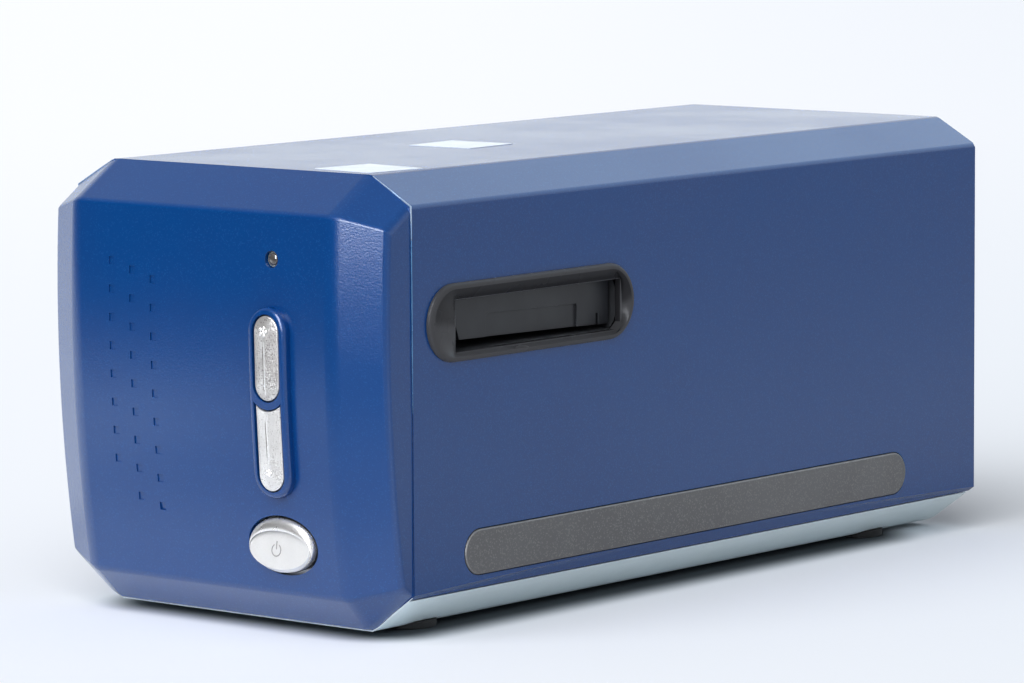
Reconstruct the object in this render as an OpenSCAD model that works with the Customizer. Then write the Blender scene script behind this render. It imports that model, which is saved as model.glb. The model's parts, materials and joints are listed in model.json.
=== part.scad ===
// Desktop film scanner: a slim housing with a straight film passage across its
// front half, a lamp and an optics carriage that scan along it, and two dust doors.
// Millimetres. X runs across the housing, Y from the front to the back, Z up from the table.
// Inside the modules Y is counted from the seam between the front bezel and the cover.

/* [Housing] */
// Width over the side walls
body_w = 117.6; // [110:0.2:134]
// Length of the cover from the bezel seam to the back
cover_len = 250.4; // [240:0.2:285]
// Height of the housing, without its feet
body_h = 119.1; // [117:0.1:133]
// How far the feet hold the housing off the table
foot_drop = 1.4; // [1:0.1:3]
// Width of the sloping top corner
corner_in = 13.4; // [10:0.05:18]
// Height of the sloping top corner
corner_drop = 7.5; // [5:0.1:11]
// Wall of the cover, the bezel and the base
wall = 2.2; // [1.8:0.1:2.8]
// Gap between two housing parts that meet
seam = 0.4; // [0.2:0.1:0.8]
// Height of the line where the cover ends and the base begins
split_up = 9.9; // [9:0.1:10.8]
// Height of the lower corner of the side walls
side_low_up = 11.2; // [10.9:0.1:12.6]
// How far that corner bows upward halfway along the cover
side_bow = 2.2; // [0:0.1:4]
// Diameter of a rubber foot
foot_d = 15; // [10:1:18]
// Distance from the seam to the middle of a front foot
foot_front = 22; // [18:1:40]

/* [Front bezel] */
// Depth of the bezel in front of the seam, at its fullest
face_depth = 16.2; // [15:0.1:20]
// Depth of the bezel along its side edges
side_depth = 9.65; // [8:0.05:12]
// Radius of the curve that the front face follows from top to bottom
face_r = 431; // [350:1:900]
// Height of the fullest point of the front face
face_peak_up = 79.4; // [68:0.1:92]
// Drop from the top of the housing to the top edge of the front face
face_top_drop = 9.7; // [8:0.1:12]
// Rise from the bottom of the housing to the lower edge of the front face
face_foot_rise = 10.0; // [8:0.1:12]
// Side of one square dimple
dimple = 2.05; // [1.4:0.05:2.6]
// Depth of a dimple
dimple_deep = 0.7; // [0.3:0.1:1.2]
// Distance between two dimples in a column
dimple_step = 7.53; // [6.5:0.01:7.7]
// Distance between two columns of dimples
dimple_col = 7.4; // [5:0.05:9]

/* [Buttons] */
// Distance of the button column from the middle of the face
btn_x = 25; // [22:0.5:26.5]
// Width of the two scan buttons
btn_w = 8.6; // [7.5:0.1:9.4]
// Length of the upper scan button
btn_len = 22.1; // [21:0.1:24]
// Height of the middle of the upper scan button
btn_up = 72.0; // [70:0.1:74]
// Gap round a button
btn_gap = 0.4; // [0.3:0.05:0.5]
// Strip of bezel between the two scan buttons
btn_web = 1.5; // [1.2:0.1:2]
// Rim of the raised island round the scan buttons
island_rim = 1.7; // [1.2:0.1:2.4]
// How far the island stands proud of the face
island_out = 2.4; // [1.6:0.1:3]
// Rise of the crowned button faces above the island
btn_crown = 0.9; // [0.4:0.1:1.4]
// Width of the oval hole of the power button
power_w = 24; // [20:0.1:25]
// Height of the oval hole of the power button
power_h = 15.8; // [13:0.1:17]
// Height of the middle of the power button
power_up = 22.8; // [21.4:0.1:24]
// How far the power button stands proud of the face
power_out = 1.4; // [0.8:0.1:2]
// Travel of a scan button
btn_travel = 0.6; // [0.3:0.1:0.9]
// Travel of the power button
power_travel = 0.9; // [0.4:0.1:1]
// Hole of the status light
led_d = 4.5; // [3.5:0.1:6]
// Drop from the top of the housing to the status light
led_drop = 21.7; // [20:0.1:25]

/* [Film passage] */
// Width of the passage that the film holder runs in
hold_w = 68; // [62:0.2:74]
// Height of the passage
hold_h = 13.5; // [12:0.1:14.4]
// Distance from the seam to the front edge of the slot trim
trim_front = 5.6; // [4.5:0.1:7]
// Width of the dished part of the trim in front of the passage
dish_front = 13.1; // [12.4:0.1:15]
// Trim left behind the passage
trim_back = 3.5; // [3:0.1:5]
// Trim left under the passage
trim_under = 2.2; // [2:0.1:3]
// Trim left over the passage
trim_over = 4.8; // [4.4:0.1:6]
// Height of the bottom of the passage
hold_up = 72.4; // [71:0.1:75]
// How far the trim stands proud of the side wall
trim_out = 1.2; // [0.6:0.1:2]
// How far the dish of the trim sinks below its rim
dish_deep = 2.4; // [1.5:0.1:3]
// Thickness of a dust door
door_t = 1.2; // [1:0.1:1.6]
// Gap under a dust door at its back end
door_lift = 1.4; // [0.8:0.1:2.4]
// Extra gap under a dust door at its front end
door_skew = 1.2; // [0:0.1:2]
// Diameter of the steel shaft that a door hangs on
shaft_d = 2; // [1.6:0.1:2.2]

/* [Side pads] */
// Length of the rubber side pad
pad_len = 196; // [150:0.5:201]
// Height of the rubber side pad
pad_h = 12.4; // [9:0.1:13]
// Distance from the seam to the front end of the pad
pad_front = 20.1; // [12:0.1:26]
// Height of the middle of the pad
pad_up = 19.6; // [19.4:0.1:22]
// Depth of the recess that the pad lies in
pad_deep = 1; // [0.6:0.1:1.3]
// How far the pad stands proud of the side wall
pad_out = 0.35; // [0.1:0.05:0.8]

/* [Scan mechanism] */
// Travel of the optics carriage
scan_travel = 30; // [24:1:32]
// Diameter of the two guide rods
rod_d = 6; // [5:0.5:6.5]
// Height of the guide rods
rod_up = 28; // [27:0.5:29]
// Diameter of the lead screw
screw_d = 6; // [5:0.5:7]
// Height of the lead screw
screw_up = 21; // [20.6:0.1:21.4]
// Diameter of the stepper motor
motor_d = 25; // [20:1:25]
// Length of the stepper motor
motor_len = 16; // [12:1:18]
// Width of the optics carriage
tray_w = 64; // [58:1:66]
// Height of the bottom of the optics carriage
tray_up = 34; // [33.8:0.1:35]
// Wall of the optics carriage
tray_wall = 2.5; // [2:0.1:3]
// Height of the optical axis behind the mirror
axis_up = 49.5; // [48.5:0.5:52]
// Diameter of the lens barrel
lens_d = 22; // [18:1:24]
// Length of the lens barrel
lens_len = 30; // [20:1:40]
// Size of the film gate across the housing
gate_x = 40; // [36:1:46]
// Thickness of the frame plates that carry the rods
plate_t = 2; // [1.5:0.1:2.5]

/* [Fits] */
// Running clearance of a shaft in its bore, on the radius
run_fit = 0.05; // [0.03:0.01:0.08]
// Clearance of a fixed pin or rod in its bore, on the radius
seat_fit = 0.02; // [0.01:0.01:0.04]
// Clearance of a part that drops into a recess
drop_fit = 0.25; // [0.15:0.05:0.3]

/* [Hidden] */
$fn = 48;
hull_fn = 32;
eps = 0.01;
far = 40;

// Housing section
half_w = body_w / 2;
top_z = foot_drop + body_h;
shoulder_z = top_z - corner_drop;
floor_z = foot_drop + wall;
inner_x = half_w - wall;
keel_in = 16.8;
keel_x = half_w - keel_in;
keel_rise = 1.25;
bilge_in = 14;
split_z = foot_drop + split_up;
side_low = foot_drop + side_low_up;
skin = [
    [-keel_x, foot_drop], [keel_x, foot_drop],
    [half_w - bilge_in, foot_drop + keel_rise], [half_w, side_low],
    [half_w, shoulder_z], [half_w - corner_in, top_z],
    [-half_w + corner_in, top_z], [-half_w, shoulder_z],
    [-half_w, side_low], [-half_w + bilge_in, foot_drop + keel_rise]
];
btn_proud = island_out + btn_crown;
front_reach = face_depth + btn_proud;
seam_y = (front_reach - cover_len) / 2;
cover_y0 = seam / 2;

// Front bezel
face_half = half_w - corner_in;
face_top = top_z - face_top_drop;
face_foot = foot_drop + face_foot_rise;
tongue_gap = 0.3;
tongue_t = 1.5;
tongue_top = split_z + 8;
bezel_low = foot_drop + 0.95;
bezel_chin = 1.35;
bezel_rear = -seam / 2;
arc_steps = 28;
edge_fall = (face_top - face_foot) / arc_steps;
dimple_cols = 3;
dimple_rows = [8, 9, 9];
dimple_x0 = btn_x - 56.75;
dimple_z0 = face_top - 15.5;
dimple_fall = 2.1;

// Buttons
btn_z = foot_drop + btn_up;
power_z = foot_drop + power_up;
led_z = top_z - led_drop;
win_w = btn_w + 2 * btn_gap;
island_w = win_w + 2 * island_rim;
upper_low = btn_z - btn_len / 2 + btn_w / 2;
lower_gap_r = win_w / 2 + btn_web + btn_gap;
lower_len = btn_len + btn_w / 2 - 1.2;
lower_low = upper_low - btn_w / 2 - btn_web - 2 * btn_gap - btn_len + 0.9 + btn_w / 2;
island_low = lower_low - btn_w / 2 - btn_gap - island_rim;
island_top = btn_z + btn_len / 2 + btn_gap + island_rim;
island_len = island_top - island_low;
flange_out = 0.9;
flange_t = 1.2;
board_t = 1.6;
btn_board_y = 2;
btn_board_w = 26;
switch_size = 6;
switch_tall = 3.5;
plunger_d = 3.2;
plunger_out = 1.3;
plunger_in = 1.3;
plunger_tip = btn_board_y - switch_tall - plunger_out;
stem_d = 4;
power_gap = btn_gap;
power_face_w = power_w - 2.4;
power_face_h = power_h - 4.6;
power_face_drop = 1.1;
board_boss_dx = 10;
board_boss_low = power_z + power_h / 2 + 4.9;
board_boss_high = led_z - 5.6;
board_boss_z = [board_boss_low, board_boss_high];
board_boss_d = 6;
small_screw_d = 2.2;
screw_head_d = 5.4;
screw_head_t = 1.6;
screw_shank_d = 2.9;
screw_hole_d = 3.2;
bezel_boss_d = 8;
bezel_boss_in = 10;
bezel_boss_z = [foot_drop + 20.6, top_z - 18.9];

// Film passage
hold_y0 = trim_front + dish_front;
hold_y1 = hold_y0 + hold_w;
hold_z0 = foot_drop + hold_up;
hold_z1 = hold_z0 + hold_h;
trim_len = dish_front + hold_w + trim_back;
trim_h = trim_under + hold_h + trim_over;
trim_mid_y = trim_front + trim_len / 2;
trim_mid_z = hold_z0 - trim_under + trim_h / 2;
trim_lip = 1;
trim_rim = 1.6;
plug_in = 0.9;
plug_x = inner_x - plug_in;
rail_end_x = plug_x - 0.3;
rail_t = 5.2;
rail_gap = 0.4;
rail_front_y1 = hold_y0 - rail_gap;
rail_front_y0 = rail_front_y1 - rail_t;
rail_rear_y0 = hold_y1 + rail_gap;
rail_rear_y1 = rail_rear_y0 + rail_t;
deck_t = 2.4;
deck_top = hold_z0 - 0.1;
deck_z0 = deck_top - deck_t;
hood_z0 = hold_z1 + 0.4;
hood_t = 2;
tower_z = hood_z0 + hood_t + 1.6;
door_axis_z = hold_z1 + shaft_d / 2 + 0.2;
knuckle_r = shaft_d / 2 + 0.7;
door_axis_right = rail_end_x - 2;
door_drop = door_axis_z - hold_z0;
door_axis_left = -(rail_end_x - door_drop - 0.1);
door_y0 = hold_y0 + 0.9;
door_y1 = hold_y1 - 0.9;
spring_len = 4;
wire_d = 0.4;
coil_r = shaft_d / 2 + 0.5;
coil_turns = 5;
coil_pitch = wire_d * 0.9;
swing_room = door_drop + 0.6;
hood_x1 = door_axis_right - swing_room;
hood_x0 = door_axis_left + knuckle_r + 0.4;
gate_y = (hold_y0 + hold_y1) / 2;
gate_len = scan_travel + 6;
post_d = 8;
post_x = inner_x - 7.8;
post_seat = floor_z + 9;
post_front_y = (rail_front_y0 + rail_front_y1) / 2;
post_rear_y = (rail_rear_y0 + rail_rear_y1) / 2;
hood_screw_x = gate_x / 2 + 10;

// Frames and rods
frame_y = 6;
frame_back = cover_len - 21.5;
frame_inset = wall + 2 * tongue_gap + tongue_t;
board_x = -(inner_x - 7);
frame_left = board_x + 3.3;
rod_x = post_x - post_d / 2 - 6;
rod_z = foot_drop + rod_up;
screw_z = foot_drop + screw_up;
frame_foot = 10;
frame_foot_x = 30;
frame_screw_x = 22;
frame_hole_d = 24;
frame_hole_x = 20;
frame_hole_z = foot_drop + 78;

// Carriage
line_y = gate_y - scan_travel / 2;
mirror_w = gate_x + 6;
mirror_h = 30;
mirror_t = 3;
tray_z0 = foot_drop + tray_up;
tray_x = tray_w / 2;
tray_y0 = line_y - (mirror_h / 2 + mirror_t) * cos(45) - tray_wall - 0.3;
tray_y1 = frame_back - scan_travel - 8;
tray_top = deck_z0 - 1.2;
axis_z = foot_drop + axis_up;
lens_y = tray_y0 + 88;
bush_len = 12;
bush_wall = 1.5;
bush_r = rod_d / 2 + bush_wall;
ear_r = bush_r + 1.2;
ear_y = [tray_y0 + 16, tray_y0 + 136];
ear_left_y = tray_y0 + 76;
nut_y = tray_y0 + 36;
nut_len = 12;
nut_w = 16;
tower_y0 = rail_rear_y1 + 2.6;
tower_t = 6;
tower_w = 28;
post_screw_x = 25;
beam_w = 40;
beam_h = 14;
lamp_gap = 1.6;
lamp_z0 = hood_z0 + hood_t + lamp_gap;
lamp_tall = 6.9;
lamp_w = gate_x + 10;
lamp_deep = 18;
arm_t = 2.5;
arm_z0 = lamp_z0 + lamp_tall;
sensor_h = 9;
sensor_w = 44;

// Drive
coupler_len = 14;
coupler_d = 12;
motor_y0 = frame_back - motor_len;
coupler_y1 = motor_y0 - 4;
coupler_y0 = coupler_y1 - coupler_len;
journal_d = 4;
motor_shaft_d = 3;
bearing_r = 5;

// Rear panel and board
panel_t = 2.5;
panel_y0 = cover_len - 0.3 - panel_t;
panel_screw_x = half_w - 22;
panel_screw_low = foot_drop + 10.6;
panel_screw_high = top_z - 7.6;
tab_size = 10;
tab_len = 8;
main_board_y0 = ear_left_y + bush_len + scan_travel + 4;
main_board_y1 = panel_y0 - 2.7;
main_board_z0 = foot_drop + 12.6;
main_board_z1 = top_z - 19;
chip_w = 18;
memory_w = 11;
capacitor_d = 6.3;
usb_w = 12;
usb_h = 11;
usb_len = 15.5;
usb_z = foot_drop + 28;
jack_w = 9.2;
jack_h = 11;
jack_len = 13.5;
jack_z = foot_drop + 48;

/* Helpers */

// A flat outline in Y and Z, extruded across the housing
module along_x(x0, x1) {
    translate([x0, 0, 0]) rotate([90, 0, 90]) linear_extrude(x1 - x0) children();
}

// A flat outline in X and Z, extruded from the front to the back
module along_y(y0, y1) {
    translate([0, y1, 0]) rotate([90, 0, 0]) linear_extrude(y1 - y0) children();
}

module stadium(len, h) {
    square([len - h, h], center = true);
    for (s = [-1, 1]) translate([s * (len - h) / 2, 0]) circle(d = h);
}

module pin_y(x, z, d, y0, y1) {
    translate([x, y0, z]) rotate([-90, 0, 0]) cylinder(d = d, h = y1 - y0);
}

module pin_x(x0, x1, y, z, d) {
    translate([x0, y, z]) rotate([0, 90, 0]) cylinder(d = d, h = x1 - x0);
}

module pin_z(x, y, d, z0, z1) {
    translate([x, y, z0]) cylinder(d = d, h = z1 - z0);
}

module block(x0, x1, y0, y1, z0, z1) {
    translate([x0, y0, z0]) cube([x1 - x0, y1 - y0, z1 - z0]);
}

// Both sides of the housing
module both_sides() {
    children();
    mirror([1, 0, 0]) children();
}

// From seam coordinates to the part's own frame
module placed() {
    translate([0, seam_y, 0]) children();
}

function unit(v) = v / norm(v);
function side_normal(a, b) = unit([a[1] - b[1], b[0] - a[0]]);

// A convex outline moved inward by d on every side
function inset(pts, d) = [
    for (i = [0 : len(pts) - 1])
        let (
            a = pts[(i + len(pts) - 1) % len(pts)],
            b = pts[i],
            c = pts[(i + 1) % len(pts)],
            n1 = side_normal(a, b),
            n2 = side_normal(b, c)
        )
        b + (n1 + n2) * d / (1 + n1 * n2)
];

function ellipse(a, b, n = 48) = [for (i = [0 : n - 1]) [a * cos(360 * i / n), b * sin(360 * i / n)]];

// Place of the curved face at height z, for a face that is `depth` in front of the seam
function face_at(z, depth) =
    -depth + face_r - sqrt(face_r * face_r - pow(z - foot_drop - face_peak_up, 2));

// The curve of the face at equal heights, with `cut` of its steps left off at each end
function face_arc(depth, z0, z1, n = arc_steps, cut = 0) = [
    for (i = [cut : n - cut]) let (z = z0 + (z1 - z0) * i / n) [face_at(z, depth), z]
];

function reversed(pts) = [for (i = [len(pts) - 1 : -1 : 0]) pts[i]];

// A screw along +Y with its head at the y0 end, or at the y1 end
module screw_y(x, z, y0, y1, head_at_front = true) {
    pin_y(x, z, screw_shank_d, y0, y1);
    head_y = head_at_front ? y0 - screw_head_t : y1;
    difference() {
        pin_y(x, z, screw_head_d, head_y, head_y + screw_head_t);
        cross_y(x, z, head_at_front ? head_y : head_y + screw_head_t);
    }
}

// The cross recess of a screw head that faces the front or the back
module cross_y(x, z, y) {
    for (a = [0, 90]) translate([x, y, z]) rotate([0, a, 0]) cube([3, 1.6, 0.7], center = true);
}

module cross_z(x, y, z) {
    for (a = [0, 90]) translate([x, y, z]) rotate([0, 0, a]) cube([3, 0.7, 1.6], center = true);
}

// A screw that points down, with its head on top of z1
module screw_z(x, y, z0, z1) {
    pin_z(x, y, screw_shank_d, z0, z1);
    difference() {
        pin_z(x, y, screw_head_d, z1, z1 + screw_head_t);
        cross_z(x, y, z1 + screw_head_t);
    }
}

// A screw that points up, with its head under z0
module screw_up(x, y, z0, z1) {
    pin_z(x, y, screw_shank_d, z0, z1);
    difference() {
        pin_z(x, y, screw_head_d, z0 - screw_head_t, z0);
        cross_z(x, y, z0 - screw_head_t);
    }
}

/* Housing */

// The faceted outer form of the bezel, moved inward by i
module bezel_form(i, rear) {
    low = bezel_low + i;
    hull() {
        along_x(-face_half + i / 2, face_half - i / 2)
            polygon(concat(
                face_arc(face_depth - i, face_foot + i / 2, face_top - i / 2),
                [[rear, top_z - i], [rear, low], [-bezel_chin, low]]
            ));
        along_x(-half_w + i, half_w - i)
            polygon(concat(
                face_arc(side_depth - i, face_foot + i / 2, face_top - i / 2, cut = 1),
                [[rear, shoulder_z - i / 2], [rear, side_low + i / 2]]
            ));
    }
}

// The curved slab between two depths of the face
module face_slab(x0, x1, z0, z1, depth_out, depth_in) {
    along_x(x0, x1)
        polygon(concat(face_arc(depth_out, z0, z1), reversed(face_arc(depth_in, z0, z1))));
}

module island_outline(grow) {
    translate([btn_x, (island_low + island_top) / 2])
        rotate(90) stadium(island_len + 2 * grow, island_w + 2 * grow);
}

module upper_outline(grow) {
    translate([btn_x, btn_z]) rotate(90) stadium(btn_len + 2 * grow, btn_w + 2 * grow);
}

// The lower button ends in a hollow curve that runs round the upper one
module lower_outline(grow) {
    difference() {
        hull_free_column(lower_low, upper_low, btn_w + 2 * grow);
        translate([btn_x, upper_low]) circle(r = lower_gap_r - grow + btn_gap);
    }
}

module hull_free_column(z0, z1, w) {
    translate([btn_x, z0]) circle(d = w);
    translate([btn_x - w / 2, z0]) square([w, z1 - z0]);
}

module power_outline(grow) {
    translate([btn_x, power_z]) polygon(ellipse(power_w / 2 + grow, power_h / 2 + grow));
}

// Depth of the bezel at a distance x from the middle
function depth_at(x) =
    abs(x) < face_half ? face_depth
    : face_depth - (face_depth - side_depth) * (abs(x) - face_half) / corner_in;

// The front end of a boss lies inside the wall all round its rim
function boss_start(x, z, r) = max(
    face_at(z - r, depth_at(abs(x) + r)), face_at(z + r, depth_at(abs(x) + r))
) + wall / 2;

bezel_boss_x = half_w - bezel_boss_in;

module bezel_bosses() {
    for (s = [-1, 1], z = bezel_boss_z)
        pin_y(s * bezel_boss_x, z, bezel_boss_d, boss_start(bezel_boss_x, z, bezel_boss_d / 2), frame_y);
    for (s = [-1, 1], z = board_boss_z)
        pin_y(btn_x + s * board_boss_dx, z, board_boss_d, boss_start(btn_x + board_boss_dx, z, board_boss_d / 2), btn_board_y);
}

module bezel_boss_bores() {
    for (s = [-1, 1], z = bezel_boss_z)
        pin_y(s * bezel_boss_x, z, screw_shank_d + 2 * seat_fit, frame_y - 12, frame_y + eps);
    for (s = [-1, 1], z = board_boss_z)
        pin_y(btn_x + s * board_boss_dx, z, small_screw_d + 2 * seat_fit, btn_board_y - 8,
            btn_board_y + eps);
}

module bezel_dimples() {
    for (c = [0 : dimple_cols - 1], r = [0 : dimple_rows[c] - 1]) {
        z = dimple_z0 - c * dimple_fall - r * dimple_step;
        translate([dimple_x0 + c * dimple_col, face_at(z, face_depth), z])
            cube([dimple, 2 * dimple_deep, dimple], center = true);
    }
}

module front_bezel() {
    color("#1b4a86") placed() difference() {
        union() {
            difference() {
                bezel_form(0, bezel_rear);
                bezel_form(wall, 1);
            }
            intersection() {
                along_y(-far, 0) island_outline(0);
                face_slab(btn_x - island_w, btn_x + island_w, island_low, island_top,
                    face_depth + island_out, face_depth - wall / 2);
            }
            bezel_bosses();
        }
        along_y(-far, -1) {
            upper_outline(btn_gap);
            lower_outline(btn_gap);
            power_outline(0);
        }
        pin_y(btn_x, led_z, led_d, -far, -1);
        bezel_boss_bores();
        bezel_dimples();
    }
}

// The wall of the housing as a closed ring
module skin_ring() {
    difference() {
        polygon(skin);
        polygon(inset(skin, wall));
    }
}

// Takes the crescent off the lower corner of the side wall
module side_crescent() {
    steps = 12;
    lip_x = half_w - (side_low - split_z) * bilge_in / (side_low - foot_drop - keel_rise);
    hull() for (i = [0 : steps]) {
        t = 2 * i / steps - 1;
        y = cover_y0 + (cover_len - cover_y0) * i / steps;
        along_y(y - eps, y + eps)
            polygon([
                [half_w + eps, side_low + side_bow * (1 - t * t)], [lip_x, split_z - eps],
                [half_w + eps, split_z - eps]
            ]);
    }
}

module trim_outline(grow) {
    translate([trim_mid_y, trim_mid_z]) stadium(trim_len + 2 * grow, trim_h + 2 * grow);
}

module pad_outline(grow) {
    translate([pad_front + pad_len / 2, pad_up + foot_drop])
        stadium(pad_len + 2 * grow, pad_h + 2 * grow);
}

module cover_tabs() {
    for (s = [-1, 1])
        block(s * panel_screw_x - tab_size / 2, s * panel_screw_x + tab_size / 2,
            panel_y0 - tab_len, panel_y0, top_z - wall - tab_size, top_z - wall / 2);
}

module top_cover() {
    color("#3c5484") placed() difference() {
        union() {
            along_y(cover_y0, cover_len) intersection() {
                skin_ring();
                translate([-body_w, split_z]) square([2 * body_w, top_z]);
            }
            cover_tabs();
        }
        both_sides() {
            side_crescent();
            along_x(inner_x - 1, half_w + 1) trim_outline(-trim_lip);
            along_x(half_w - pad_deep, half_w + 1) pad_outline(0);
        }
        for (s = [-1, 1])
            pin_y(s * panel_screw_x, panel_screw_high, screw_shank_d + 2 * seat_fit,
                panel_y0 - tab_len - eps, panel_y0 + eps);
    }
}

feet_y = [foot_front, cover_len - foot_front - 7];
foot_x = keel_x - foot_d / 2 + 3;
foot_pocket = 0.8;

module at_feet() {
    for (s = [-1, 1], y = feet_y) translate([s * foot_x, y, 0]) children();
}

// Strip of the base that stands up inside the cover
module tongue() {
    difference() {
        polygon(inset(skin, wall + tongue_gap));
        polygon(inset(skin, wall + tongue_gap + tongue_t));
        translate([-body_w, tongue_top]) square(2 * body_w);
        translate([-keel_x, 0]) square([2 * keel_x, body_h]);
    }
    difference() {
        polygon(inset(skin, wall / 2));
        polygon(inset(skin, wall + tongue_gap + tongue_t));
        translate([-body_w, split_z - seam]) square(2 * body_w);
        translate([-keel_x, 0]) square([2 * keel_x, body_h]);
    }
}

module board_posts() {
    for (y = board_post_y)
        block(board_x - 4, board_x, y, y + 8, main_board_z0 - 4, main_board_z0 + 10);
}

board_post_y = [main_board_y0 + 6, main_board_y1 - 16];
board_screw_z = main_board_z0 + 5;

// Outline of what may stand on the tray: inside its wall below the split, clear of the cover above it
module tray_room() {
    polygon(inset(skin, wall + tongue_gap));
    difference() {
        polygon(inset(skin, wall / 2));
        translate([-body_w, split_z - seam]) square(2 * body_w);
    }
}

// Cups that the posts of the film deck stand in, cut off along the sloping wall
module post_sockets() {
    for (s = [-1, 1], y = [post_front_y, post_rear_y])
        pin_z(s * post_x, y, post_d + 3, foot_drop, post_seat + 4);
}

module base_tray() {
    color("#a9b8bc") placed() difference() {
        union() {
            along_y(cover_y0, cover_len) intersection() {
                skin_ring();
                translate([-body_w, 0]) square([2 * body_w, split_z - seam]);
            }
            along_y(cover_y0, panel_y0 - tongue_gap) tongue();
            intersection() {
                union() {
                    board_posts();
                    post_sockets();
                }
                along_y(cover_y0, cover_len) tray_room();
            }
        }
        at_feet() cylinder(d = foot_d + 2 * drop_fit, h = 2 * foot_pocket + 2 * foot_drop, center = true);
        for (s = [-1, 1], y = [frame_y + plate_t + frame_foot / 2, frame_back - frame_foot / 2])
            pin_z(s * frame_screw_x, y, screw_shank_d + 2 * seat_fit, 0, floor_z + eps);
        for (y = board_post_y)
            pin_x(board_x - 4 - eps, board_x + eps, y + 4, board_screw_z, small_screw_d + 2 * seat_fit);
        for (s = [-1, 1], y = [post_front_y, post_rear_y])
            pin_z(s * post_x, y, post_d + 2 * seat_fit, post_seat, post_seat + 20);
    }
}

module rear_panel() {
    color("#3a3d42") placed() difference() {
        union() {
            along_y(panel_y0, panel_y0 + panel_t) polygon(inset(skin, wall + 0.3));
            for (s = [-1, 1])
                pin_y(s * panel_screw_x, panel_screw_low, 7, frame_back + plate_t, panel_y0 + eps);
        }
        for (s = [-1, 1]) {
            pin_y(s * panel_screw_x, panel_screw_low, screw_hole_d, frame_back, cover_len);
            pin_y(s * panel_screw_x, panel_screw_high, screw_hole_d, frame_back, cover_len);
            for (z = [panel_screw_low, panel_screw_high])
                pin_y(s * panel_screw_x, z, screw_head_d + 0.6, panel_y0 + 1.2, cover_len);
        }
        socket_hole(usb_x0, usb_z, usb_w, usb_h);
        socket_hole(usb_x0, jack_z, jack_w, jack_h);
        rear_vents();
    }
}

usb_x0 = board_x + board_t;

module socket_hole(x0, z0, w, h) {
    block(x0 - 0.3, x0 + w + 0.3, panel_y0 - 1, cover_len, z0 - 0.3, z0 + h + 0.3);
}

vent_count = 7;
vent_w = 40;
vent_h = 2;
vent_step = 5;

module rear_vents() {
    along_y(panel_y0 - 1, cover_len)
        for (i = [0 : vent_count - 1])
            translate([10, top_z - 28 - i * vent_step]) stadium(vent_w, vent_h);
}

/* Slot trims, pads, feet and labels */

// A dished ring round the mouth of the film passage; side is 1 on the right, -1 on the left
module slot_trim(side) {
    rim_x = half_w + trim_out;
    dish_in = 0.05;
    color("#26282c") placed() mirror([side < 0 ? 1 : 0, 0, 0]) difference() {
        union() {
            along_x(half_w, rim_x) trim_outline(0);
            along_x(plug_x, half_w) trim_outline(-trim_lip - 0.15);
        }
        along_x(plug_x - 1, rim_x + 1) translate([hold_y0, hold_z0]) square([hold_w, hold_h]);
        hull() {
            along_x(rim_x - dish_deep - 0.5, rim_x - dish_deep)
                translate([hold_y0 + dish_in, hold_z0 + dish_in])
                    square([hold_w - 2 * dish_in, hold_h - 2 * dish_in]);
            along_x(rim_x, rim_x + 0.5) intersection() {
                trim_outline(-trim_rim);
                translate([trim_front, hold_z0 - trim_h])
                    square([hold_y1 - dish_in - trim_front, 3 * trim_h]);
            }
        }
    }
}

module slot_trim_right() { slot_trim(1); }
module slot_trim_left() { slot_trim(-1); }

module side_pad(side) {
    color("#45423f") placed() mirror([side < 0 ? 1 : 0, 0, 0])
        along_x(half_w - pad_deep, half_w + pad_out) pad_outline(-drop_fit);
}

module side_pad_right() { side_pad(1); }
module side_pad_left() { side_pad(-1); }

module rubber_feet() {
    color("#1c1c1e") placed() at_feet() cylinder(d = foot_d, h = foot_drop + foot_pocket);
}

label_w = 21;
label_l = 19.5;
label_t = 0.12;
label_front_x = 32.5;
label_front_y = 14;
label_back_y = 89;
label_turn = 6;

module top_labels() {
    color("#eef2f2") placed() {
        for (p = [[label_front_x, label_front_y, -label_turn], [0, label_back_y, label_turn / 2]])
            translate([p[0], p[1], top_z]) rotate(p[2])
                linear_extrude(label_t) square([label_w, label_l], center = true);
    }
}

/* Film passage */

module gate_hole(z0, z1) {
    block(-gate_x / 2, gate_x / 2, gate_y - gate_len / 2, gate_y + gate_len / 2, z0, z1);
}

module at_posts() {
    for (s = [-1, 1], y = [post_front_y, post_rear_y]) translate([s * post_x, y, 0]) children();
}

module film_deck() {
    color("#2f3236") placed() difference() {
        union() {
            block(-rail_end_x, rail_end_x, rail_front_y0, rail_rear_y1, deck_z0, deck_top);
            at_posts() translate([0, 0, post_seat]) cylinder(d = post_d, h = deck_z0 - post_seat + eps);
        }
        gate_hole(deck_z0 - 1, deck_top + 1);
        at_posts() translate([0, 0, deck_z0 - 10])
            cylinder(d = screw_shank_d + 2 * seat_fit, h = deck_t + 11);
    }
}

// A side wall of the passage, with a raised tower at each end that holds the door shafts
module channel_rail(y0, y1, bore_y0, bore_y1) {
    difference() {
        union() {
            block(-rail_end_x, rail_end_x, y0, y1, deck_top, hood_z0);
            block(-rail_end_x, hood_x0 - 0.2, y0, y1, deck_top, tower_z);
            block(hood_x1 + 0.2, rail_end_x, y0, y1, deck_top, tower_z);
        }
        for (x = [door_axis_right, door_axis_left])
            pin_y(x, door_axis_z, shaft_d + 2 * seat_fit, bore_y0, bore_y1);
        for (s = [-1, 1]) {
            pin_z(s * post_x, (y0 + y1) / 2, screw_hole_d, deck_top - 1, tower_z + 1);
            pin_z(s * hood_screw_x, (y0 + y1) / 2, screw_shank_d + 2 * seat_fit, hood_z0 - 8, hood_z0 + 1);
        }
    }
}

module channel_rail_front() {
    color("#33363a") placed()
        channel_rail(rail_front_y0, rail_front_y1, rail_front_y1 - spring_len, rail_front_y1 + 1);
}

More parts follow.
